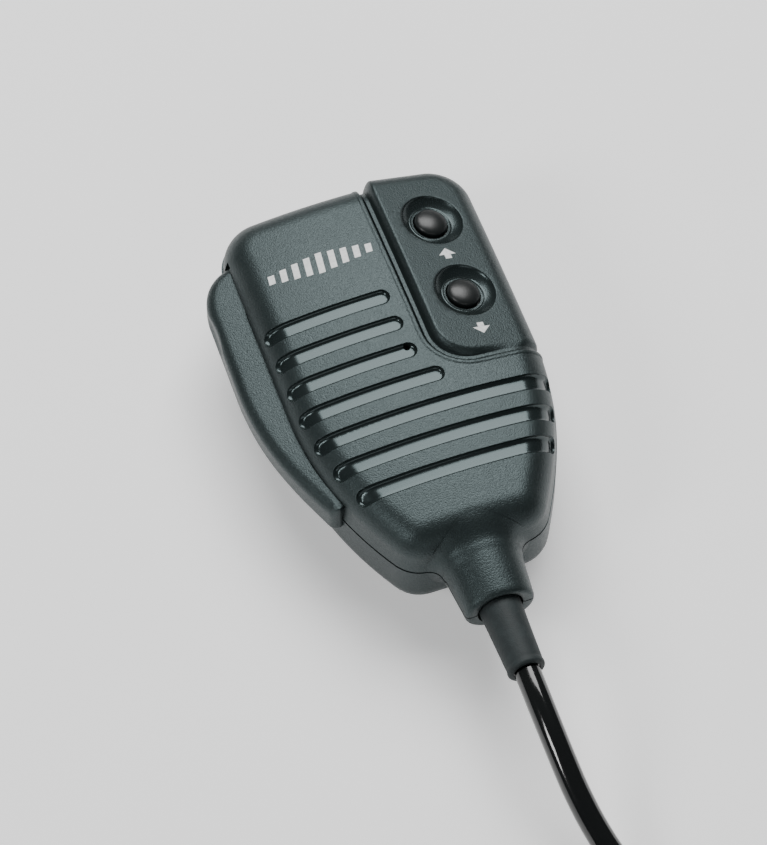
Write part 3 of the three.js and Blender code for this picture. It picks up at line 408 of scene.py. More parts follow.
def bezier(points, count):
    """count points along a Bezier curve, without its end."""
    t = np.linspace(0, 1, count, endpoint=False)[:, None]
    n = len(points) - 1
    return sum(math.comb(n, i) * t**i * (1 - t)**(n - i) * np.array(p, float) for i, p in enumerate(points))


def case_outline():
    """The case seen from the front, anticlockwise, with its outward normals: straight, rounded, tapered."""
    slope = math.radians(FOOT_SLOPE)
    reach = FOOT_ROUND * math.tan(slope / 2)
    dx, dy = math.cos(slope), math.sin(slope)
    foot = (FOOT_HALF + dx * reach, BOTTOM + dy * reach)
    pull = (foot[0] + dx * 12, foot[1] + dy * 12)
    shoulder, k = TOP - CORNER, 0.55 * CORNER
    right_in, left_in = RIGHT - CORNER, LEFT + CORNER
    parts = [
        ([(0, BOTTOM), (FOOT_HALF - reach, BOTTOM)], 24),
        ([(FOOT_HALF - reach, BOTTOM), (FOOT_HALF, BOTTOM), foot], 30),
        ([foot, pull, (RIGHT, TAPER_Y - 16), (RIGHT, TAPER_Y)], 90),
        ([(RIGHT, TAPER_Y), (RIGHT, shoulder)], 90),
        ([(RIGHT, shoulder), (RIGHT, shoulder + k), (right_in + k, TOP), (right_in, TOP)], 40),
        ([(right_in, TOP), (left_in, TOP)], 90),
        ([(left_in, TOP), (left_in - k, TOP), (LEFT, shoulder + k), (LEFT, shoulder)], 40),
        ([(LEFT, shoulder), (LEFT, TAPER_Y)], 90),
        ([(LEFT, TAPER_Y), (LEFT, TAPER_Y - 16), (-pull[0], pull[1]), (-foot[0], foot[1])], 90),
        ([(-foot[0], foot[1]), (-FOOT_HALF, BOTTOM), (reach - FOOT_HALF, BOTTOM)], 30),
        ([(reach - FOOT_HALF, BOTTOM), (0, BOTTOM)], 24),
    ]
    points = np.vstack([bezier(p, n) for p, n in parts])
    along = np.roll(points, -1, 0) - np.roll(points, 1, 0)
    along /= np.linalg.norm(along, axis=1)[:, None]
    return points, np.stack([along[:, 1], -along[:, 0]], 1)


OUTLINE, OUTWARD = case_outline()


def crown(x, y):
    return CROWN_Z - x**2 / 286 - (y - CROWN_Y)**2 / 1000


class Skin:
    """A moulded surface laid out flat: its middle as seen from the front, then shoulder and wall unrolled.

    surface gives the middle's height, width and drop are the shoulder's, and side is 1 for a skin that
    faces the front and -1 for one that faces the back.
    """

    def __init__(self, surface, width, drop, draft, wall, side=1):
        self.surface, self.width, self.drop = surface, width, drop
        self.draft, self.wall, self.side = draft, wall, side
        self.rim = OUTLINE - OUTWARD * (width + draft)
        angle = np.linspace(0, math.pi / 2, 60)
        step = np.hypot(np.diff(width * np.sin(angle)), np.diff(drop * np.cos(angle)))
        self.angle, self.run = angle, np.concatenate([[0], np.cumsum(step)])

    def foot(self, q):
        """For each point of the layout: the nearest rim point, its outward normal, and how far out it is."""
        q = np.asarray(q, float)
        near = np.empty(len(q), int)
        for a in range(0, len(q), 2000):
            gap = q[a:a + 2000, None, :] - self.rim[None]
            near[a:a + 2000] = (gap**2).sum(2).argmin(1)
        best = np.full(len(q), 1e9)
        at, out = np.empty_like(q), np.empty_like(q)
        for step in (-1, 0):
            i, j = (near + step) % len(self.rim), (near + step + 1) % len(self.rim)
            edge = self.rim[j] - self.rim[i]
            t = np.clip(((q - self.rim[i]) * edge).sum(1) / np.maximum((edge**2).sum(1), 1e-9), 0, 1)[:, None]
            point = self.rim[i] + t * edge
            normal = OUTWARD[i] * (1 - t) + OUTWARD[j] * t
            normal /= np.linalg.norm(normal, axis=1)[:, None]
            gap = np.linalg.norm(q - point, axis=1)
            better = gap < best
            best[better], at[better], out[better] = gap[better], point[better], normal[better]
        return at, out, ((q - at) * out).sum(1)

    def lift(self, q):
        """Where the layout's points lie in space, and the way the surface faces there."""
        q = np.asarray(q, float)
        at, out, far = self.foot(q)
        over = np.clip(far, 0, None)
        turn = np.interp(over, self.run, self.angle)
        down = np.clip(over - self.run[-1], 0, None)
        reach = self.width * np.sin(turn) + self.draft * np.clip(down / self.wall, 0, 1)
        fall = self.drop * (1 - np.cos(turn)) + down
        xy = np.where((far > 0)[:, None], at + out * reach[:, None], q)
        z = self.surface(xy[:, 0], xy[:, 1]) - self.side * fall
        h = 0.01
        slope_x = (self.surface(xy[:, 0] + h, xy[:, 1]) - self.surface(xy[:, 0] - h, xy[:, 1])) / (2 * h)
        slope_y = (self.surface(xy[:, 0], xy[:, 1] + h) - self.surface(xy[:, 0], xy[:, 1] - h)) / (2 * h)
        m = np.hypot(self.drop * np.sin(turn), self.width * np.cos(turn))
        flat = (self.width * np.cos(turn) / m)[:, None]
        steep = (self.drop * np.sin(turn) / m)[:, None]
        normal = np.concatenate([out * steep, flat * self.side], 1)
        normal[:, 0] -= flat[:, 0] * slope_x * self.side
        normal[:, 1] -= flat[:, 0] * slope_y * self.side
        normal /= np.linalg.norm(normal, axis=1)[:, None]
        return np.concatenate([xy, z[:, None]], 1), normal

    def reach_of(self, height):
        """For each rim point, how far out the unrolled skin comes down to this height."""
        edge = self.rim + OUTWARD * (self.width + self.draft)
        top = self.side * (self.surface(edge[:, 0], edge[:, 1]) - height)
        on_wall = self.run[-1] + top - self.drop
        turn = np.arccos(np.clip(1 - top / self.drop, -1, 1))
        return np.where(top > self.drop, on_wall, np.interp(turn, self.angle, self.run))

    def ring(self, far):
        """The layout's line that lies this far out from the rim, all the way round."""
        return self.rim + OUTWARD * np.broadcast_to(far, len(self.rim))[:, None]


class Layout:
    """Points and lines on a flat layout, made into triangles that keep every line as an edge."""

    def __init__(self):
        self.points, self.lines = [], []

    def line(self, points, closed=False):
        first = len(self.points)
        count = len(points)
        self.points += [tuple(p) for p in points]
        self.lines += [(first + i, first + i + 1) for i in range(count - 1)]
        if closed:
            self.lines.append((first + count - 1, first))

    def scatter(self, points):
        self.points += [tuple(p) for p in points]

    def triangles(self, keep):
        made = delaunay_2d_cdt([Vector(p) for p in self.points], self.lines, [], 0, 1e-4)
        q = np.array([v[:] for v in made[0]])
        faces = np.array([f for f in made[2] if len(f) == 3])
        middle = q[faces].mean(1)
        a, b, c = (q[faces[:, i]] for i in range(3))
        area = 0.5 * np.abs((b - a)[:, 0] * (c - a)[:, 1] - (b - a)[:, 1] * (c - a)[:, 0])
        faces = faces[keep(middle) & (area > 1e-6)]
        used, index = np.unique(faces, return_inverse=True)
        return q[used], index.reshape(-1, 3)


def capsule(x0, x1, y, r, spacing=0.7):
    """A line round a slot from x0 to x1, r from its middle line."""
    count = max(4, int((x1 - x0) / spacing))
    x = np.linspace(x0, x1, count)
    a = np.linspace(-math.pi / 2, math.pi / 2, 21)[1:-1]
    right = np.stack([x1 + r * np.cos(a), y + r * np.sin(a)], 1)
    left = np.stack([x0 - r * np.cos(a), y - r * np.sin(a)], 1)
    low, high = np.stack([x, np.full(count, y - r)], 1), np.stack([x[::-1], np.full(count, y + r)], 1)
    return np.vstack([low, right, high, left])


def circle(x, y, r, count=40):
    a = np.linspace(0, 2 * math.pi, count, endpoint=False)
    return np.stack([x + r * np.cos(a), y + r * np.sin(a)], 1)


def grid(x0, x1, y0, y1, step):
    x, y = np.meshgrid(np.arange(x0, x1, step), np.arange(y0, y1, step))
    x = x + (np.arange(len(x)) % 2)[:, None] * step / 2
    return np.stack([x.ravel(), y.ravel()], 1)


def smooth(t):
    t = np.clip(t, 0, 1)
    return t * t * (3 - 2 * t)


PANEL_X, PANEL_Y, PANEL_ROUND, PANEL_GAP = 5.6, -12.9, 10.0, 0.36


def inside_panel(q):
    """How far inside the button panel's outline a point lies; negative outside."""
    x, y = q[:, 0] - PANEL_X, q[:, 1] - PANEL_Y
    corner = PANEL_ROUND - np.hypot(np.clip(PANEL_ROUND - x, 0, None), np.clip(PANEL_ROUND - y, 0, None))
    return np.where((x < PANEL_ROUND) & (y < PANEL_ROUND), corner, np.minimum(x, y))


def panel_line(inside, far_x=50, far_y=62):
    """The panel's outline moved in, from above its top end, down its left side and out past its right end."""
    x, y, r = PANEL_X + inside, PANEL_Y + inside, PANEL_ROUND - inside
    a = np.linspace(math.pi, 1.5 * math.pi, 26)
    arc = np.stack([x + r + r * np.cos(a), y + r + r * np.sin(a)], 1)
    ups = np.arange(far_y, y + r, -1.0)
    outs = np.arange(x + r + 1.0, far_x, 1.0)
    upward, outward = np.stack([np.full_like(ups, x), ups], 1), np.stack([outs, np.full_like(outs, y)], 1)
    return np.vstack([upward, arc, outward])


def skin_piece(name, skin, layout, keep, shape, finish, thickness, flip=False):
    """Triangles of the layout, lifted and shaped, with an inner layer and a rim that joins the two."""
    q, faces = layout.triangles(keep)
    place, facing = skin.lift(q)
    place, polished = shape(q, place, facing)
    if flip:
        faces = faces[:, ::-1]
    n = len(place)
    edges = np.vstack([faces[:, [0, 1]], faces[:, [1, 2]], faces[:, [2, 0]]])
    there = {tuple(e) for e in edges.tolist()}
    rim = [(b, a, a + n, b + n) for a, b in there if (b, a) not in there]
    inner = faces[:, ::-1] + n
    verts = np.vstack([place, place - facing * thickness])
    piece = add_piece(name, verts, faces.tolist() + inner.tolist() + rim, finish, None)
    mark = piece.data.attributes.new("polished", "FLOAT", "POINT")
    mark.data.foreach_set("value", np.concatenate([polished, 0 * polished]).astype(np.float32))
    return piece


def finished(piece, smooth_angle=35):
    """The piece with its modifiers made part of its mesh."""
    view = bpy.context.evaluated_depsgraph_get()
    mesh = bpy.data.meshes.new_from_object(piece.evaluated_get(view))
    piece.modifiers.clear()
    piece.data = mesh
    mesh.shade_smooth()
    mesh.set_sharp_from_angle(angle=math.radians(smooth_angle))
    return piece


front = Skin(crown, 6.5, 6.0, 0.6, 5.0)
GROOVES = 7
GROOVE_Y, GROOVE_PITCH, GROOVE_HALF, GROOVE_DEPTH = 9.3, 7.77, 2.05, 1.0
GROOVE_SHORT_ENDS = (2.0, 2.4, 2.9, 6.6)
GROOVE_LEFT_OUT, GROOVE_RIGHT_OUT = 3.9, 8.2
HOLE_X, HOLE_Y, HOLE_R = 1.0, -4.9, 0.8
LEVER_LOW_Y, LEVER_TOP_Y, LEVER_SLOT_Z, LEVER_SLOT_LOW_Z = -36.3, 34.5, 26.2, 18.1
CASE_WALL, OPEN_CORNER_Z = 1.5, 24.3


def rim_x(skin, y, side):
    """Where the flat middle ends on one side, at this height up the case."""
    half = skin.rim[(skin.rim[:, 0] * side > 3)]
    half = half[np.argsort(half[:, 1])]
    return float(np.interp(y, half[:, 1], half[:, 0]))


grooves = []
for k in range(GROOVES):
    y = GROOVE_Y - GROOVE_PITCH * k
    ends_short = k < len(GROOVE_SHORT_ENDS)
    right = GROOVE_SHORT_ENDS[k] - GROOVE_HALF if ends_short else rim_x(front, y, 1) + GROOVE_RIGHT_OUT
    grooves.append((rim_x(front, y, -1) - GROOVE_LEFT_OUT, right, y))


def from_groove(q):
    """How far each point lies from the nearest groove's middle line, and whether it is above that line."""
    nearest, above = np.full(len(q), 99.0), np.zeros(len(q), bool)
    for x0, x1, y in grooves:
        x = np.clip(q[:, 0], x0, x1)
        gap = np.hypot(q[:, 0] - x, q[:, 1] - y)
        above = np.where(gap < nearest, q[:, 1] > y, above)
        nearest = np.minimum(nearest, gap)
    return nearest, above


def roll_off(inside, r):
    """How far a surface drops where it rolls over its own edge."""
    t = np.clip(1 - inside / r, 0, 1)
    return r * (1 - np.sqrt(1 - t**2 * 0.98))


def shape_front(q, place, facing):
    across, above = from_groove(q)
    across = across / GROOVE_HALF
    depth = GROOVE_DEPTH * (1 - np.clip(across, 0, 1)**np.where(above, 6.0, 8.0))
    lip = -inside_panel(q) - PANEL_GAP / 2
    near_panel = lip < 1.3
    raised = np.where(near_panel, 0.16 * smooth(lip / 0.25) * smooth((1.15 - lip) / 0.25), 0)
    move = raised - depth - np.where(near_panel, roll_off(lip, 0.3), 0)
    return place + facing * move[:, None], smooth((1.04 - across) / 0.1)


def front_layout(skin):
    layout = Layout()
    floor_far = skin.reach_of(PART_Z + PART_GAP / 2)
    slot_far = skin.reach_of(LEVER_SLOT_Z)
    panel_far = skin.reach_of(OPEN_CORNER_Z)
    layout.line(skin.ring(floor_far), True)
    layout.line(skin.ring(floor_far - 0.25), True)
    left = (OUTLINE[:, 0] < 0) & (OUTLINE[:, 1] > LEVER_LOW_Y - 2) & (OUTLINE[:, 1] < LEVER_TOP_Y + 2)
    layout.line(skin.ring(slot_far)[left])
    for y in (LEVER_LOW_Y, LEVER_TOP_Y):
        layout.line([(x, y) for x in np.arange(-24.0, -44, -1.0)])
    right = (OUTLINE[:, 0] > 0) & (OUTLINE[:, 1] > PANEL_Y - 2)
    layout.line(skin.ring(panel_far)[right])
    for far in np.concatenate([np.arange(0, skin.run[-1], 0.75), skin.run[-1] + np.arange(0, 4.5, 1.4)]):
        layout.line(skin.ring(far), True)
    for x0, x1, y in grooves:
        for r in (2.13, 2.06, 2.0, 1.93, 1.85, 1.74, 1.6, 1.4, 1.1, 0.6):
            layout.line(capsule(x0, x1, y, r), True)
        layout.line([(x, y) for x in np.arange(x0, x1, 0.9)])
    for inside in (-0.18, -0.24, -0.34, -0.5, -0.9, -1.1, -1.35, -1.6):
        layout.line(panel_line(inside))
    for r in (HOLE_R, HOLE_R + 0.15):
        layout.line(circle(HOLE_X, HOLE_Y, r, 28), True)
    layout.scatter(grid(-24, 26, -48, 37, 1.7))
    return layout


def keep_front(middle):
    place, _ = front.lift(middle)
    _, _, far = front.foot(middle)
    wall_end = place[:, 2] > PART_Z + PART_GAP / 2
    lever = (middle[:, 0] < 0) & (middle[:, 1] > LEVER_LOW_Y) & (middle[:, 1] < LEVER_TOP_Y)
    open_slot = lever & (place[:, 2] < LEVER_SLOT_Z) & (far > 0)
    open_corner = (inside_panel(middle) > -PANEL_GAP / 2) & (place[:, 2] > OPEN_CORNER_Z)
    hole = np.hypot(middle[:, 0] - HOLE_X, middle[:, 1] - HOLE_Y) < HOLE_R
    return wall_end & ~open_slot & ~open_corner & ~hole


front_shell = skin_piece(
    "front_shell_skin", front, front_layout(front), keep_front, shape_front, CASE, CASE_WALL,
)


# The half neck: a tapered half barrel that flows out of the bottom wall, with the cord's hole in its end.
NECK_END_Y, NECK_BORE = -68.5, 5.15


def foot_y(x, inset):
    """Where the case's foot end is at x, once its outline is moved in."""
    low = OUTLINE[:, 1] < -36
    ring = OUTLINE[low] - OUTWARD[low] * inset
    ring = ring[np.argsort(ring[:, 0])]
    return np.interp(x, ring[:, 0], ring[:, 1])


def front_bottom_y(x, z):
    """Where the front shell's bottom wall or shoulder is, at each point's height."""
    shoulder = crown(x, BOTTOM + 7.1) - z
    turn = np.arcsin(np.clip(1 - shoulder / front.drop, 0, 1))
    draft = front.draft * np.clip((z - PART_Z) / 5.5, 0, 1)
    inset = np.where(shoulder >= front.drop, draft, front.draft + front.width * (1 - np.cos(turn)))
    return np.array([foot_y(a, b) for a, b in zip(x, inset)])


def back_bottom_y(x, z):
    """Where the rear cover's bottom wall or rounded edge is, at each point's height."""
    turn = np.clip((BACK_Z + BACK_ROUND - z) / BACK_ROUND, 0, 1)
    inset = BACK_ROUND * (1 - np.sqrt(1 - turn**2))
    return np.array([foot_y(a, b) for a, b in zip(x, inset)])


def neck_piece(side, base, end, bottom_y, fillet):
    """Half a neck as closed rings: out over the fillet and barrel, round the end, and back along the bore."""
    flat_z = PART_Z + side * PART_GAP / 2
    angle = np.linspace(0, math.pi, 49)
    cos, sin = np.cos(angle), np.sin(angle)

    def barrel(y):
        t = np.clip((BOTTOM - y) / (BOTTOM - NECK_END_Y), 0, 1)
        wide = base[0] + (end[0] - base[0]) * t
        high = base[1] + (end[1] - base[1]) * t**1.15
        return wide * cos, high * sin

    rows = []
    wide, high = barrel(np.full_like(angle, BOTTOM))
    length = np.hypot(wide, high)
    for turn in np.linspace(0, math.pi / 2, 11):
        grow = 1 + fillet * (1 - math.sin(turn)) / length
        x, z = wide * grow, flat_z + side * high * grow
        sunk = 0.07 * (1 - math.sin(turn))
        rows.append(np.stack([x, bottom_y(x, z) - fillet * (1 - math.cos(turn)) + sunk, z], 1))
    rows.insert(0, rows[0] + np.array([0, 0.8, 0]) - np.stack([0 * cos, 0 * cos, side * sin * 1.2], 1))
    start = rows[-1][:, 1]
    for t in np.linspace(0, 1, 14)[1:]:
        y = start + (NECK_END_Y + 0.8 - start) * t
        x, h = barrel(y)
        rows.append(np.stack([x, y, flat_z + side * h], 1))
    x, h = barrel(np.full_like(angle, NECK_END_Y))
    outer = np.hypot(x, h)
    for turn in np.radians([30, 60, 90]):
        shrink = 1 - 0.8 * (1 - np.cos(turn)) / outer
        y = np.full_like(angle, NECK_END_Y + 0.8 - 0.8 * math.sin(turn))
        rows.append(np.stack([x * shrink, y, flat_z + side * h * shrink], 1))
    for wider, y in ((0.55, 0.0), (0.15, 0.12), (0, 0.5), (0, 5.0), (0, 11.0)):
        r = NECK_BORE + wider
        rows.append(np.stack([r * cos, np.full_like(angle, NECK_END_Y + y), flat_z + side * r * sin], 1))
    verts = np.vstack(rows)
    faces = grid_faces(len(rows), len(angle), closed=False)
    count, n = len(rows), len(angle)
    for column in (0, n - 1):
        loop = [r * n + column for r in range(count)]
        faces.append(tuple(loop))
    faces.append(tuple(range(n)) + tuple((count - 1) * n + i for i in reversed(range(n))))
    return verts, faces


def neck(name, side, base, end, bottom_y, fillet):
    verts, faces = neck_piece(side, base, end, bottom_y, fillet)
    piece = add_piece(name, verts, faces, CASE, None, 40)
    shell = bmesh.new()
    shell.from_mesh(piece.data)
    bmesh.ops.recalc_face_normals(shell, faces=shell.faces)
    shell.to_mesh(piece.data)
    shell.free()
    return piece


def joined(name, pieces, body, slot, *nodes):
    """The pieces as one object that rides on a body and stands for these nodes."""
    keeper = pieces[0]
    with bpy.context.temp_override(active_object=keeper, selected_editable_objects=pieces):
        if len(pieces) > 1:
            bpy.ops.object.join()
    keeper.name = name
    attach(keeper, body)
    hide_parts(*nodes)
    return keeper


front_neck = neck("front_neck", 1, (9.3, 8.3), (8.0, 6.2), front_bottom_y, 3.0)
joined("front_case", [front_shell, front_neck], "microphone", "case_plastic", "front_shell")


# ---- Rear cover ----
# The back half: a flat back with a full round edge, four deep screw holes, a seat for the hang-up stud,
# and the other half of the neck. Its left wall is cut down for the lever.
BACK_ROUND, STUD_HOLE_R, STUD_SEAT_R, STUD_SEAT_HIGH = 6.0, 2.1, 9.3, 0.3
SINK_R, SINK_DEPTH = 3.0, 5.0
CASE_SCREWS = ((-20, 34.5), (21.6, 34.5), (-14.2, -42.6), (14.2, -42.6))
back = Skin(lambda x, y: np.full_like(x, BACK_Z), BACK_ROUND, BACK_ROUND, 0.0, 6.0, side=-1)


def shape_back(q, place, facing):
    sink = np.zeros(len(q))
    for x, y in CASE_SCREWS:
        r = np.hypot(q[:, 0] - x, q[:, 1] - y)
        rolled = np.where(r < SINK_R + 0.5, roll_off(r - SINK_R, 0.4), 0)
        sink = np.maximum(sink, np.where(r < SINK_R, SINK_DEPTH, 0) + rolled)
    r = np.hypot(q[:, 0], q[:, 1])
    raised = STUD_SEAT_HIGH * smooth((STUD_SEAT_R - r) / 0.4)
    return place + facing * (raised - sink)[:, None], np.zeros(len(q))


def back_layout(skin):
    layout = Layout()
    layout.line(skin.ring(skin.reach_of(PART_Z - PART_GAP / 2)), True)
    left = (OUTLINE[:, 0] < 0) & (OUTLINE[:, 1] > LEVER_LOW_Y - 2) & (OUTLINE[:, 1] < LEVER_TOP_Y + 2)
    layout.line(skin.ring(skin.reach_of(LEVER_SLOT_LOW_Z))[left])
    for y in (LEVER_LOW_Y, LEVER_TOP_Y):
        layout.line([(x, y) for x in np.arange(-22.0, -42, -1.0)])
    for far in np.concatenate([np.arange(0, skin.run[-1], 0.8), skin.run[-1] + np.arange(0, 7.5, 1.8)]):
        layout.line(skin.ring(far), True)
    for x, y in CASE_SCREWS:
        for r in (3.5, 3.3, 3.12, 3.02, 2.96, 2.0):
            layout.line(circle(x, y, r, 32), True)
    for r in (9.5, 9.3, 9.1, 8.9, 8.7, 4.5):
        layout.line(circle(0, 0, r, 64), True)
    layout.scatter(grid(-24, 26, -50, 38, 3.0))
    return layout


def keep_back(middle):
    place, _ = back.lift(middle)
    lever = (middle[:, 0] < 0) & (middle[:, 1] > LEVER_LOW_Y) & (middle[:, 1] < LEVER_TOP_Y)
    stud_hole = np.hypot(middle[:, 0], middle[:, 1]) < STUD_HOLE_R
    open_slot = lever & (place[:, 2] > LEVER_SLOT_LOW_Z)
    return (place[:, 2] < PART_Z - PART_GAP / 2) & ~open_slot & ~stud_hole


rear_skin = skin_piece(
    "rear_skin", back, back_layout(back), keep_back, shape_back, CASE, CASE_WALL, flip=True,
)
rear_neck = neck("rear_neck", -1, (9.3, 6.6), (8.0, 6.2), back_bottom_y, 3.2)
joined("rear_case", [rear_skin, rear_neck], "microphone", "case_plastic", "rear_cover")


# ---- Button panel ----
# A separate moulding that drops into the front shell's open corner: a thin flange level with the shell,
# a rounded step, and a face that leans to the right, with two dished seats for the keys.
PANEL_SPOT, PANEL_TILT = (18.6, 16.0, 32.1), 0.27
DISH_PITCH, DISH_R, DISH_DEPTH, SEAT_R, KEY_HOLE_R = 20.9, 7.2, 1.9, 4.75, 4.15
FLANGE_DROP, FLANGE_WIDTH, STEP_WIDTH, PANEL_LOW_Z, PANEL_WALL = 0.85, 1.05, 1.9, 24.6, 1.3
DISH_RINGS = (7.5, 7.35, 7.22, 7.18, 7.05, 6.8, 6.4, 5.9, 5.4, 5.05, 4.95, 4.86, 4.76, 4.66, 4.5, KEY_HOLE_R)


def panel_face(x, y):
    bow = ((y - CROWN_Y)**2 - (PANEL_SPOT[1] - CROWN_Y)**2) / 1000
    return PANEL_SPOT[2] - PANEL_TILT * (x - PANEL_SPOT[0]) - bow


panel_normal = Vector((PANEL_TILT, (PANEL_SPOT[1] - CROWN_Y) / 500, 1)).normalized()
panel_across = Vector((1, 0, -panel_normal.x / panel_normal.z)).normalized()
panel_up = panel_normal.cross(panel_across)
key_spots = [Vector(PANEL_SPOT) + panel_up * (DISH_PITCH / 2 * side) for side in (1, -1)]
panel = Skin(panel_face, 4.0, 4.5, 0.6, 5.0)


def from_key(place):
    """How far each point lies from the nearer key's axis."""
    gaps = []
    for spot in key_spots:
        offset = place - np.array(spot)
        along = offset @ np.array(panel_normal)
        gaps.append(np.linalg.norm(offset - along[:, None] * np.array(panel_normal), axis=1))
    return np.minimum(*gaps)


def shape_panel(q, place, facing):
    inside = inside_panel(q) - PANEL_GAP / 2
    flange, flange_facing = front.lift(q)
    flange = flange - flange_facing * (FLANGE_DROP + roll_off(inside, 0.25))[:, None]
    t = np.clip((inside - FLANGE_WIDTH) / STEP_WIDTH, 0, 1)
    rise = np.sin(t * math.pi / 2)[:, None] ** 0.85
    turned = flange + (place - flange) * rise
    r = from_key(place)
    bowl = DISH_DEPTH * np.sqrt(np.clip((DISH_R - r) / (DISH_R - SEAT_R), 0, 1)) ** 1.2
    ring = 0.16 * np.clip(1 - np.abs(r - SEAT_R - 0.1) / 0.18, 0, 1)
    shoulder = roll_off(r - DISH_R, 0.25) * (r >= DISH_R)
    seat = np.where(r < SEAT_R, 0.12, 0)
    move = ring + seat - bowl - shoulder
    polished = smooth((DISH_R + 0.05 - r) / 0.1) * 0.75
    return turned + np.array(panel_normal) * move[:, None], polished


def panel_layout(skin):
    layout = Layout()
    layout.line(skin.ring(skin.reach_of(PANEL_LOW_Z)), True)
    for far in np.concatenate([np.arange(0, skin.run[-1], 0.6), skin.run[-1] + np.arange(0, 4.5, 1.2)]):
        layout.line(skin.ring(far), True)
    for inside in (0.18, 0.22, 0.3, 0.45, 0.8, 1.15, 1.3, 1.5, 1.8, 2.1, 2.4, 2.7, 3.0, 3.2):
        layout.line(panel_line(inside))
    for spot in key_spots:
        for r in DISH_RINGS:
            ring = circle(0, 0, r, 56)
            points = [spot + panel_across * x + panel_up * y for x, y in ring]
            layout.line([(p.x, p.y) for p in points], True)
    layout.scatter(grid(6, 30, -12, 42, 1.5))
    return layout


def keep_panel(middle):
    place, _ = panel.lift(middle)
    within = (inside_panel(middle) > PANEL_GAP / 2) & (place[:, 2] > PANEL_LOW_Z)
    return within & (from_key(place) > KEY_HOLE_R)


panel_piece = skin_piece("panel_skin", panel, panel_layout(panel), keep_panel, shape_panel, CASE, PANEL_WALL)
joined("key_panel", [panel_piece], "microphone", "case_plastic", "button_panel")


# ---- Keys ----
# Two domed caps moulded in smooth black plastic. Each has a flange under the panel that keeps it in,
# and a stem that stands over its switch.
def merged(piece):
    """The piece with its doubled points joined and its faces turned outwards."""
    mesh = bmesh.new()
    mesh.from_mesh(piece.data)
    bmesh.ops.remove_doubles(mesh, verts=mesh.verts, dist=1e-6)
    bmesh.ops.recalc_face_normals(mesh, faces=mesh.faces)
    mesh.to_mesh(piece.data)
    mesh.free()
    return piece


def eased(profile, radius, steps=4):
    """A profile with each of its inner corners rounded."""
    p = [np.array(v, float) for v in profile]
    out = [p[0]]
    for a, b, c in zip(p, p[1:], p[2:]):
        back, on = a - b, c - b
        cut = min(radius, 0.45 * np.linalg.norm(back), 0.45 * np.linalg.norm(on))
        start, end = b + back / np.linalg.norm(back) * cut, b + on / np.linalg.norm(on) * cut
        out += [(1 - t)**2 * start + 2 * t * (1 - t) * b + t * t * end for t in np.linspace(0, 1, steps + 1)]
    return np.array([*out, p[-1]])


def turned(name, profile, base, axis, finish, body, slot=None, loop=False, steps=64, smooth_angle=35):
    """A piece turned about an axis from (radius, height) pairs; a loop profile closes on itself."""
    axis = Vector(axis).normalized()
    side = np.array(axis.orthogonal().normalized())
    up = np.cross(np.array(axis), side)
    angle = np.linspace(0, 2 * math.pi, steps, endpoint=False)
    around = np.cos(angle)[:, None] * side + np.sin(angle)[:, None] * up
    rows = [np.array(base) + np.array(axis) * h + r * around for r, h in profile]
    faces = grid_faces(len(rows), steps, closed=True)
    if loop:
        last = (len(rows) - 1) * steps
        faces += [(last + i, last + (i + 1) % steps, (i + 1) % steps, i) for i in range(steps)]
    piece = merged(add_piece(name, np.vstack(rows), faces, finish, body, smooth_angle))
    piece.data.shade_smooth()
    piece.data.set_sharp_from_angle(angle=math.radians(smooth_angle))
    return piece


KEY_R, KEY_TOP, KEY_EDGE, KEY_FLANGE_R, KEY_FLANGE, KEY_FLANGE_T, KEY_STEM_R, KEY_STEM_END = (
    3.8, 0.3, -1.1, 4.9, -3.9, 1.1, 2.0, -6.05,
)
dome_turn = np.linspace(0, math.pi / 2, 14)
key_dome = [
    (KEY_R * math.sin(a), KEY_EDGE + (KEY_TOP - KEY_EDGE) * math.cos(a) ** 1.15) for a in dome_turn[:-1]
]
key_low = KEY_FLANGE - KEY_FLANGE_T
key_profile = [
    *key_dome, (KEY_R, KEY_EDGE - 0.25), (KEY_R, KEY_FLANGE), (KEY_FLANGE_R, KEY_FLANGE),
    (KEY_FLANGE_R, key_low),
    (KEY_STEM_R, key_low), (KEY_STEM_R, KEY_STEM_END), (0, KEY_STEM_END),
]
for way, spot in zip(("up", "down"), key_spots):
    cap = turned(
        f"{way}_key_cap", key_profile, spot, panel_normal, KEYS, f"{way}_key", "key_plastic", smooth_angle=50,
    )
    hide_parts(f"{way}_button")


# ---- Marks ----
# White ink printed on the case: an arrow for each key, and a row of level bars on the crown.
# Each mark is a film that stands a twenty-fifth of a millimetre proud of the plastic under it.
INK_T, INK_SUNK = 0.04, 0.1
INK = plain_coating("white_ink", (0.78, 0.80, 0.79), 0.45, 1500)
ARROW = ((0, 1.5), (2.0, -0.35), (0.75, -0.35), (0.75, -1.5), (-0.75, -1.5), (-0.75, -0.35), (-2.0, -0.35))
BARS, BAR_PITCH, BAR_WIDTH, BAR_TALL, BAR_SHORT = 9, 2.9, 1.5, 5.6, 1.7
BARS_X, BARS_Y, BAR_LEAN = -9.7, 23.2, 0.12


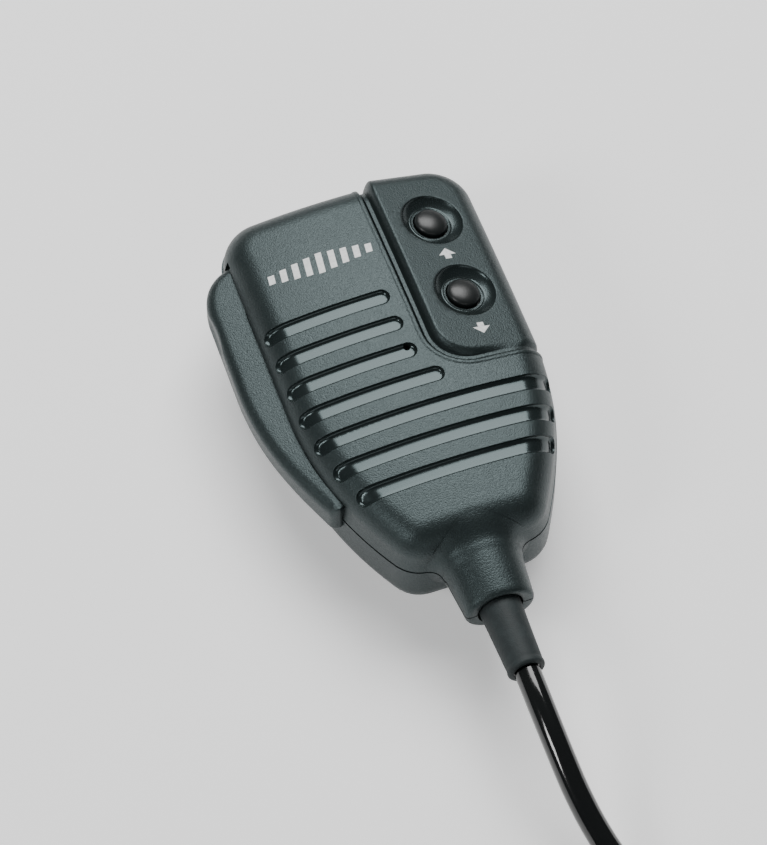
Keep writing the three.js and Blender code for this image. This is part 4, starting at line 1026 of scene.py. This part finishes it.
def film(name, shapes, surface):
    """Flat anticlockwise shapes as thin closed films on a surface."""
    verts, faces = [], []
    for shape in shapes:
        xy = np.array(shape, float)
        n, first = len(xy), len(verts)
        z = surface(xy[:, 0], xy[:, 1])
        for lift in (INK_T, -INK_SUNK):
            verts += np.concatenate([xy, (z + lift)[:, None]], 1).tolist()
        faces.append(tuple(range(first, first + n)))
        faces.append(tuple(reversed(range(first + n, first + 2 * n))))
        faces += [(first + i, first + n + i, first + n + (i + 1) % n, first + (i + 1) % n) for i in range(n)]
    piece = add_piece(name, verts, faces, INK, "microphone")
    triangles = bmesh.new()
    triangles.from_mesh(piece.data)
    bmesh.ops.triangulate(triangles, faces=[f for f in triangles.faces if len(f.verts) > 4])
    bmesh.ops.recalc_face_normals(triangles, faces=triangles.faces)
    triangles.to_mesh(piece.data)
    triangles.free()
    return piece


for way, (x, y), turn in (("up", (18.3, 16.3), 1), ("down", (18.7, -5.4), -1)):
    film(f"{way}_arrow", [[(x + turn * u, y + turn * v) for u, v in ARROW]], panel_face)

bars = []
for i in range(BARS):
    x = BARS_X + (i - (BARS - 1) / 2) * BAR_PITCH
    tall = BAR_SHORT + (BAR_TALL - BAR_SHORT) * (1 - abs(i - (BARS - 1) / 2) / (BARS / 2)) ** 0.8
    lean = BAR_LEAN * tall / 2
    left, right = x - BAR_WIDTH / 2, x + BAR_WIDTH / 2
    low, high = BARS_Y - tall / 2, BARS_Y + tall / 2
    bars.append([(left - lean, low), (right - lean, low), (right + lean, high), (left + lean, high)])
film("level_bars", bars, crown)


# ---- Push-to-talk lever ----
# A long black moulding that fills the slot in the left side. It swings on a pin at its lower end, has
# a thumb hollow near the top, and carries a rib that works the switch and a stop that keeps it in.
LEVER_LOW, LEVER_TOP, LEVER_ROUND, LEVER_EDGE = 18.4, 25.9, 2.5, 0.5
LEVER_INNER_X, LEVER_OUTER_X, LEVER_END_Y = -25.8, -36.8, 34.1
PIVOT_X, PIVOT_Y, EYE_R, PIN_HOLE_R = -21.7, -31.5, 2.9, 1.35
HOLLOW_Y, HOLLOW_LONG, HOLLOW_HIGH, HOLLOW_DEPTH, LEVER_LEAN = 19.0, 6.9, 3.4, 0.5, 0.15


def lever_outline():
    parts = [
        ([(LEVER_INNER_X, LEVER_END_Y), (-28.4, LEVER_END_Y)], 6),
        ([(-28.4, LEVER_END_Y), (-33.6, 32.9), (-36.2, 29.1), (-36.4, 23.1)], 44),
        ([(-36.4, 23.1), (LEVER_OUTER_X, 2)], 44),
        ([(LEVER_OUTER_X, 2), (LEVER_OUTER_X, -13), (-33, -23), (-27.9, -35)], 64),
        ([(-27.9, -35), (-27.2, -35.8), (-25.6, -35.8)], 12),
        ([(-25.6, -35.8), (-22.9, -34.2)], 6),
        ([(-22.9, -34.2), (-20.5, -29)], 8),
        ([(-20.5, -29), (-23.6, -25)], 8),
        ([(-23.6, -25), (-25.2, -16)], 10),
        ([(-25.2, -16), (LEVER_INNER_X, -10)], 8),
        ([(LEVER_INNER_X, -10), (LEVER_INNER_X, LEVER_END_Y)], 44),
    ]
    points = np.vstack([bezier(p, n) for p, n in parts])
    along = np.roll(points, -1, 0) - np.roll(points, 1, 0)
    along /= np.linalg.norm(along, axis=1)[:, None]
    return points, np.stack([along[:, 1], -along[:, 0]], 1)


def lever_mesh():
    points, outward = lever_outline()
    outer = smooth((LEVER_INNER_X - 0.6 - points[:, 0]) / 2.5)[:, None]
    profile = []
    for a in np.radians([90, 60, 30]):
        profile.append((LEVER_EDGE * (1 - math.cos(a)), LEVER_LOW + LEVER_EDGE * (1 - math.sin(a))))
    profile += [(0, z) for z in np.arange(LEVER_LOW + LEVER_EDGE, LEVER_TOP - LEVER_ROUND, 0.45)]
    for a in np.radians(np.arange(0, 91, 10)):
        profile.append((LEVER_ROUND * (1 - math.cos(a)), LEVER_TOP - LEVER_ROUND + LEVER_ROUND * math.sin(a)))
    rows = []
    for inset, z in profile:
        xy = points - outward * inset * (0.2 + 0.8 * outer)
        middle = (LEVER_LOW + LEVER_TOP) / 2
        hollow = 1 - ((xy[:, 1] - HOLLOW_Y) / HOLLOW_LONG)**2 - ((z - middle) / HOLLOW_HIGH)**2
        xy[:, 0] += HOLLOW_DEPTH * smooth(hollow) * outer[:, 0]
        lean = LEVER_LEAN * (LEVER_INNER_X - xy[:, 0]) * (z - LEVER_LOW) / (LEVER_TOP - LEVER_LOW)
        rows.append(np.concatenate([xy, (z - np.clip(lean, 0, None))[:, None]], 1))
    n = len(points)
    verts = np.vstack(rows)
    faces = grid_faces(len(rows), n, closed=True)
    for row, turn in ((rows[0], True), (rows[-1], False)):
        layout = Layout()
        layout.line(row[:, :2], True)
        fill = grid(-36, -24, -33, 33, 1.6)
        layout.scatter(fill[[inside_loop(q, row[:, :2], 0.7) for q in fill]])
        q, cap = layout.triangles(lambda middle: np.array([inside_loop(m, row[:, :2], 0) for m in middle]))
        z = row[:, 2].max() - (0 if turn else 1) * LEVER_LEAN * np.clip(LEVER_INNER_X - q[:, 0], 0, None)
        first = len(verts)
        verts = np.vstack([verts, np.concatenate([q, z[:, None]], 1)])
        faces += [tuple(first + i for i in (f[::-1] if turn else f)) for f in cap]
    return verts, faces


def inside_loop(q, loop, clear):
    """Whether a point lies inside a closed line, at least this far from its points."""
    a, b = loop, np.roll(loop, -1, 0)
    crosses = (a[:, 1] > q[1]) != (b[:, 1] > q[1])
    a, b = a[crosses], b[crosses]
    at = a[:, 0] + (q[1] - a[:, 1]) * (b[:, 0] - a[:, 0]) / (b[:, 1] - a[:, 1])
    return bool((at > q[0]).sum() % 2) and np.linalg.norm(loop - q, axis=1).min() > clear


def block(name, low, high, finish, edge=0.25):
    """A moulded block with eased edges."""
    mesh = bmesh.new()
    bmesh.ops.create_cube(mesh, size=1)
    size, middle = (np.array(high) - low) * MM, (np.array(high) + low) / 2 * MM
    for v in mesh.verts:
        v.co = Vector(middle + np.array(v.co) * size)
    bmesh.ops.bevel(mesh, geom=mesh.edges[:], offset=edge * MM, segments=3, profile=0.5, affect="EDGES")
    data = bpy.data.meshes.new(name)
    mesh.to_mesh(data)
    mesh.free()
    data.materials.append(finish)
    piece = bpy.data.objects.new(name, data)
    bpy.context.scene.collection.objects.link(piece)
    data.shade_smooth()
    return piece


lever_verts, lever_faces = lever_mesh()
lever = merged(add_piece("lever", lever_verts, lever_faces, CASE, None, 40))
lever.data.shade_smooth()
lever.data.set_sharp_from_angle(angle=math.radians(40))
LEVER_TALL = LEVER_TOP - LEVER_LOW
eye_profile = [(PIN_HOLE_R, 0), (EYE_R, 0), (EYE_R, LEVER_TALL), (PIN_HOLE_R, LEVER_TALL)]
eye = turned("lever_eye", eye_profile, (PIVOT_X, PIVOT_Y, LEVER_LOW), (0, 0, 1), CASE, None, loop=True)
plunger_low, plunger_high = (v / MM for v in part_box("ptt_switch_plunger"))
plunger_mid = (plunger_low + plunger_high) / 2
rib_low = (LEVER_INNER_X - 1, plunger_mid.y - 2.5, plunger_mid.z - 1.5)
rib_high = (plunger_low.x - 0.3, plunger_mid.y + 2.5, plunger_mid.z + 1.5)
rib = block("lever_rib", rib_low, rib_high, CASE)
stop = block("lever_stop", (LEFT + 2.6, 18, LEVER_LOW - 3), (LEVER_INNER_X - 0.2, 30, LEVER_LOW + 1), CASE)
joined("talk_lever", [lever, eye, rib, stop], "ptt", "case_plastic", "ptt_lever")


# ---- Hang-up stud ----
# The button on the back that drops into a dashboard clip: a round flange on a narrower neck, with a
# recess for its screw.
STUD_R, STUD_FLANGE, STUD_NECK_R, STUD_END = 7.0, 2.4, 4.0, 6.9
stud_profile = eased([
    (0, 0.25), (2.2, 0.25), (2.6, 0), (STUD_R - 0.1, 0), (STUD_R, STUD_FLANGE),
    (STUD_NECK_R, STUD_FLANGE + 0.5), (STUD_NECK_R, STUD_END), (STUD_HOLE_R, STUD_END), (STUD_HOLE_R, 1.6),
    (0, 1.6),
], 0.5)
stud = turned("hang_up_stud", stud_profile, (0, 0, 0), (0, 0, 1), KEYS, "microphone", "case_plastic")
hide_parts("hanger_stud")


# ---- Strain relief ----
# A soft rubber sleeve round the cord, held by a flange inside the neck, with a rolled lip at its end.
RELIEF_START, RELIEF_END, RELIEF_BORE = 62.0, 85.0, 3.12
relief_profile = eased([
    (RELIEF_BORE, RELIEF_START), (5.0, RELIEF_START), (5.0, RELIEF_START + 2.5), (4.85, RELIEF_START + 2.7),
    (4.8, 69.0), (4.62, 73.0), (4.42, 78.0), (4.28, 82.6), (4.2, 83.4), (4.34, 83.9), (4.34, 84.6),
    (4.0, RELIEF_END), (RELIEF_BORE, RELIEF_END),
], 0.35)
sleeve = turned(
    "relief_sleeve", relief_profile, (0, 0, PART_Z), (0, -1, 0), RUBBER, "microphone", "cord_rubber", True,
)
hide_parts("strain_relief")


# ---- Case screws ----
# Four zinc-plated pan-head screws with cross recesses, deep in the rear cover's holes. Each was driven
# home by hand, so no two crosses stand at the same angle.
class Tree:
    """A Geometry Nodes tree with named inputs."""

    def __init__(self, name, **sizes):
        self.group = bpy.data.node_groups.new(name, "GeometryNodeTree")
        self.group.interface.new_socket("Geometry", in_out="INPUT", socket_type="NodeSocketGeometry")
        self.group.interface.new_socket("Geometry", in_out="OUTPUT", socket_type="NodeSocketGeometry")
        self.sizes, self.ids = sizes, {}
        for key in sizes:
            made = self.group.interface.new_socket(key, in_out="INPUT", socket_type="NodeSocketFloat")
            self.ids[key] = made.identifier
        self.given = self.group.nodes.new("NodeGroupInput")

    def size(self, key):
        return self.given.outputs[key]

    def add(self, kind, settings=(), **values):
        made = self.group.nodes.new(kind)
        for key, value in dict(settings).items():
            setattr(made, key, value)
        for key, value in values.items():
            socket = made.inputs[int(key[1:])] if key[1:].isdigit() else made.inputs[key.replace("_", " ")]
            for one in value if isinstance(value, list) else [value]:
                if isinstance(one, bpy.types.NodeSocket):
                    self.group.links.new(one, socket)
                else:
                    socket.default_value = one
        return made.outputs[0]

    def sum(self, *parts):
        return self.add("GeometryNodeJoinGeometry", i0=list(reversed(parts)))

    def make(self, piece, result, finish):
        """Runs the tree on a piece and leaves a plain mesh."""
        real = self.add("GeometryNodeRealizeInstances", Geometry=result)
        real = self.add("GeometryNodeSetMaterial", Geometry=real, Material=finish)
        end = self.group.nodes.new("NodeGroupOutput")
        self.group.links.new(real, end.inputs[0])
        modifier = piece.modifiers.new("nodes", "NODES")
        modifier.node_group = self.group
        for key, value in self.sizes.items():
            modifier[self.ids[key]] = float(value)
        return finished(piece, 30)


SCREW_SEAT, SCREW_HEAD_R, SCREW_HEAD_T, SCREW_R, SCREW_TIP, SCREW_TURN = 11.7, 2.6, 2.0, 1.45, 25.2, 0.61
SCREW_LONG = SCREW_TIP - SCREW_SEAT
tree = Tree(
    "pan_head_screws", head=SCREW_HEAD_R * MM, rim=0.9 * MM, shank=SCREW_R * MM, long=SCREW_LONG * MM,
)


def raised(tree, mesh, z):
    return tree.add("GeometryNodeTransform", Geometry=mesh, Translation=(0, 0, z * MM))


rim = tree.add("GeometryNodeMeshCylinder", Vertices=32, Radius=tree.size("head"), Depth=tree.size("rim"))
dome = tree.add("GeometryNodeMeshUVSphere", Segments=32, Rings=16, Radius=tree.size("head"))
dome = tree.add("GeometryNodeTransform", Geometry=dome, Scale=(0.985, 0.985, 0.52))
dome = raised(tree, dome, -SCREW_HEAD_T + 1.35)
shank = tree.add("GeometryNodeMeshCylinder", Vertices=20, Radius=tree.size("shank"), Depth=tree.size("long"))
shank = raised(tree, shank, SCREW_LONG / 2)
rim = raised(tree, rim, -0.45)
solid = tree.add("GeometryNodeMeshBoolean", {"operation": "UNION"}, i1=[rim, dome, shank])
slots = []
for turn in (0, math.pi / 2):
    slot = tree.add("GeometryNodeMeshCube", Size=(2.7 * MM, 0.62 * MM, 2.4 * MM))
    place = {"Translation": (0, 0, -2.1 * MM), "Rotation": (0, 0, turn)}
    slot = tree.add("GeometryNodeTransform", Geometry=slot, **place)
    slots.append(slot)
solid = tree.add("GeometryNodeMeshBoolean", {"operation": "DIFFERENCE"}, i0=solid, i1=slots)
solid = tree.add("GeometryNodeSetShadeSmooth", Geometry=solid, Shade_Smooth=True)
number = tree.add("GeometryNodeInputIndex")
turn = tree.add("ShaderNodeMath", {"operation": "MULTIPLY"}, i0=number, i1=SCREW_TURN)
turn = tree.add("ShaderNodeCombineXYZ", Z=turn)
heads = tree.add("GeometryNodeInstanceOnPoints", Points=tree.given.outputs[0], Instance=solid, Rotation=turn)
spots = [(x, y, SCREW_SEAT) for x, y in CASE_SCREWS]
screws = tree.make(add_piece("case_screws", spots, [], ZINC, None), heads, ZINC)
screw_nodes = [f"case_screw_{i + 1}" for i in range(len(CASE_SCREWS))]
joined("case_screws", [screws], "microphone", "steel", *screw_nodes)


# ---- Plug ----
# A round metal microphone plug: a sleeve that holds the boot with two screws, and a coupling ring that
# turns on it, with straight ribs for the fingers.
PLUG_X, FACE_Y, RING_R, RING_BORE, RING_LONG = -20.0, -133.0, 9.3, 7.9, 13.0
SLEEVE_R, SLEEVE_BORE, SLEEVE_TOP, SLEEVE_LONG = 7.4, 6.2, 139.0, 24.0
RIBS, RIB_WIDTH, RIB_HIGH, RIB_LONG = 44, 0.62, 0.42, 8.2
plug_base = (PLUG_X, 0, PLUG_Z)
ring_top, ring_low = -FACE_Y, -FACE_Y + RING_LONG
ring_face = RING_R - RIB_HIGH
ring_profile = eased([
    (RING_BORE, ring_top), (RING_R - 0.3, ring_top), (RING_R - 0.05, ring_top + 1.3),
    (ring_face, ring_top + 1.7), (ring_face, ring_low - 2.0), (RING_R - 0.05, ring_low - 1.6),
    (RING_R - 0.4, ring_low),
    (SLEEVE_R + 0.3, ring_low), (SLEEVE_R + 0.3, ring_low - 2), (RING_BORE, ring_low - 2),
], 0.25)
ring = turned("ring", ring_profile, plug_base, (0, -1, 0), CHROME, None, loop=True, steps=96)
tree = Tree("ribbed_ring", width=RIB_WIDTH * MM, high=2 * RIB_HIGH * MM, long=RIB_LONG * MM)
circle_line = tree.add("GeometryNodeMeshCircle", Vertices=RIBS, Radius=ring_face * MM)
size = tree.add("ShaderNodeCombineXYZ", X=tree.size("high"), Y=tree.size("width"), Z=tree.size("long"))
rib_mesh = tree.add("GeometryNodeMeshCube", Size=size, Vertices_X=2, Vertices_Y=2, Vertices_Z=2)
number = tree.add("GeometryNodeInputIndex")
turn = tree.add("ShaderNodeMath", {"operation": "MULTIPLY"}, i0=number, i1=2 * math.pi / RIBS)
turn = tree.add("ShaderNodeCombineXYZ", Z=turn)
ribs = tree.add("GeometryNodeInstanceOnPoints", Points=circle_line, Instance=rib_mesh, Rotation=turn)
rib_y = -(ring_top + 1.5 + RIB_LONG / 2 + 0.1)
rib_spot = (PLUG_X * MM, rib_y * MM, PLUG_Z * MM)
ribs = tree.add("GeometryNodeTransform", Geometry=ribs, Rotation=(math.pi / 2, 0, 0), Translation=rib_spot)
ring = tree.make(ring, tree.sum(tree.given.outputs[0], ribs), CHROME)
joined("coupling_ring_ribbed", [ring], "coupling_ring", "chrome", "plug_coupling_ring")

sleeve_low = SLEEVE_TOP + SLEEVE_LONG
sleeve_profile = eased([
    (SLEEVE_BORE, SLEEVE_TOP), (SLEEVE_R, SLEEVE_TOP), (SLEEVE_R, 148.4), (SLEEVE_R - 0.35, 148.6),
    (SLEEVE_R - 0.35, 149.4), (SLEEVE_R, 149.6), (SLEEVE_R, sleeve_low - 1.8), (SLEEVE_R - 1.2, sleeve_low),
    (5.5, sleeve_low), (5.5, sleeve_low - 1.5), (SLEEVE_BORE, sleeve_low - 1.5),
], 0.3)
plug_sleeve = turned(
    "plug_sleeve", sleeve_profile, plug_base, (0, -1, 0), CHROME, "microphone", "chrome", True, 80,
)
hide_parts("plug_body")

BOOT_BORE, BOOT_R, BOOT_END_R, BOOT_END = 3.12, 5.2, 4.0, 178.0
BOOT_RINGS, BOOT_RING_PITCH = 4, 2.6
boot_profile = [(BOOT_BORE, 157.2), (5.9, 157.2), (5.9, 161.2), (BOOT_R, 161.2), (BOOT_R, 164.4)]
for i in range(BOOT_RINGS):
    y = 165.0 + i * BOOT_RING_PITCH
    r = BOOT_R + (BOOT_END_R - BOOT_R) * (y - 163) / (BOOT_END - 163)
    boot_profile += [(r, y), (r - 0.7, y + 0.3), (r - 0.7, y + 0.95), (r - 0.1, y + 1.25)]
boot_profile += [(BOOT_END_R, BOOT_END - 0.3), (BOOT_END_R - 0.3, BOOT_END), (BOOT_BORE, BOOT_END)]
boot_profile = eased(boot_profile, 0.25)
boot = turned("cord_boot", boot_profile, plug_base, (0, -1, 0), RUBBER, "microphone", "cord_rubber", True)
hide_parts("plug_boot")


# ---- Pieces kept as they were designed ----
# The switches, boards, capsule, clamp, wires and small screws keep their shapes and get their finishes.
BOARD = plain_coating("solder_mask", (0.03, 0.13, 0.05), 0.3, 900)
FELT = plain_coating("open_felt", (0.05, 0.05, 0.055), 0.95, 2500)
RED = plain_coating("red_wire", (0.45, 0.02, 0.02), 0.4)
WHITE = plain_coating("white_wire", (0.8, 0.8, 0.75), 0.4)
BLACK = plain_coating("black_wire", (0.02, 0.02, 0.02), 0.4)
BLUE = plain_coating("blue_wire", (0.02, 0.08, 0.45), 0.4)
finishes = {
    "board_screw": ZINC, "board_jumper": RED, "button_board_screw": ZINC, "button_board": BOARD,
    "circuit_board": BOARD, "ptt_pivot_pin": ZINC, "ptt_return_spring": ZINC, "ptt_switch_plunger": INK,
    "up_switch_plunger": ZINC, "down_switch_plunger": ZINC, "up_switch": KEYS, "down_switch": KEYS,
    "ptt_switch": KEYS, "dust_felt": FELT, "mic_capsule": ZINC, "capsule_boot": RUBBER, "stud_washer": ZINC,
    "stud_screw": ZINC, "cord_clamp": ZINC, "clamp_screw": ZINC, "inner_cord": JACKET, "lead_1": RED,
    "lead_2": WHITE, "lead_3": BLACK, "lead_4": BLUE, "capsule_lead_1": RED, "capsule_lead_2": BLACK,
    "plug_screw": ZINC, "plug_insert": KEYS, "plug_contact": BRASS,
}
for start in sorted(finishes, key=len):
    for node in bpy.data.objects:
        if node.type == "MESH" and node.name in frame["nodes"] and node.name.startswith(start):
            for place in node.material_slots:
                place.material = finishes[start]
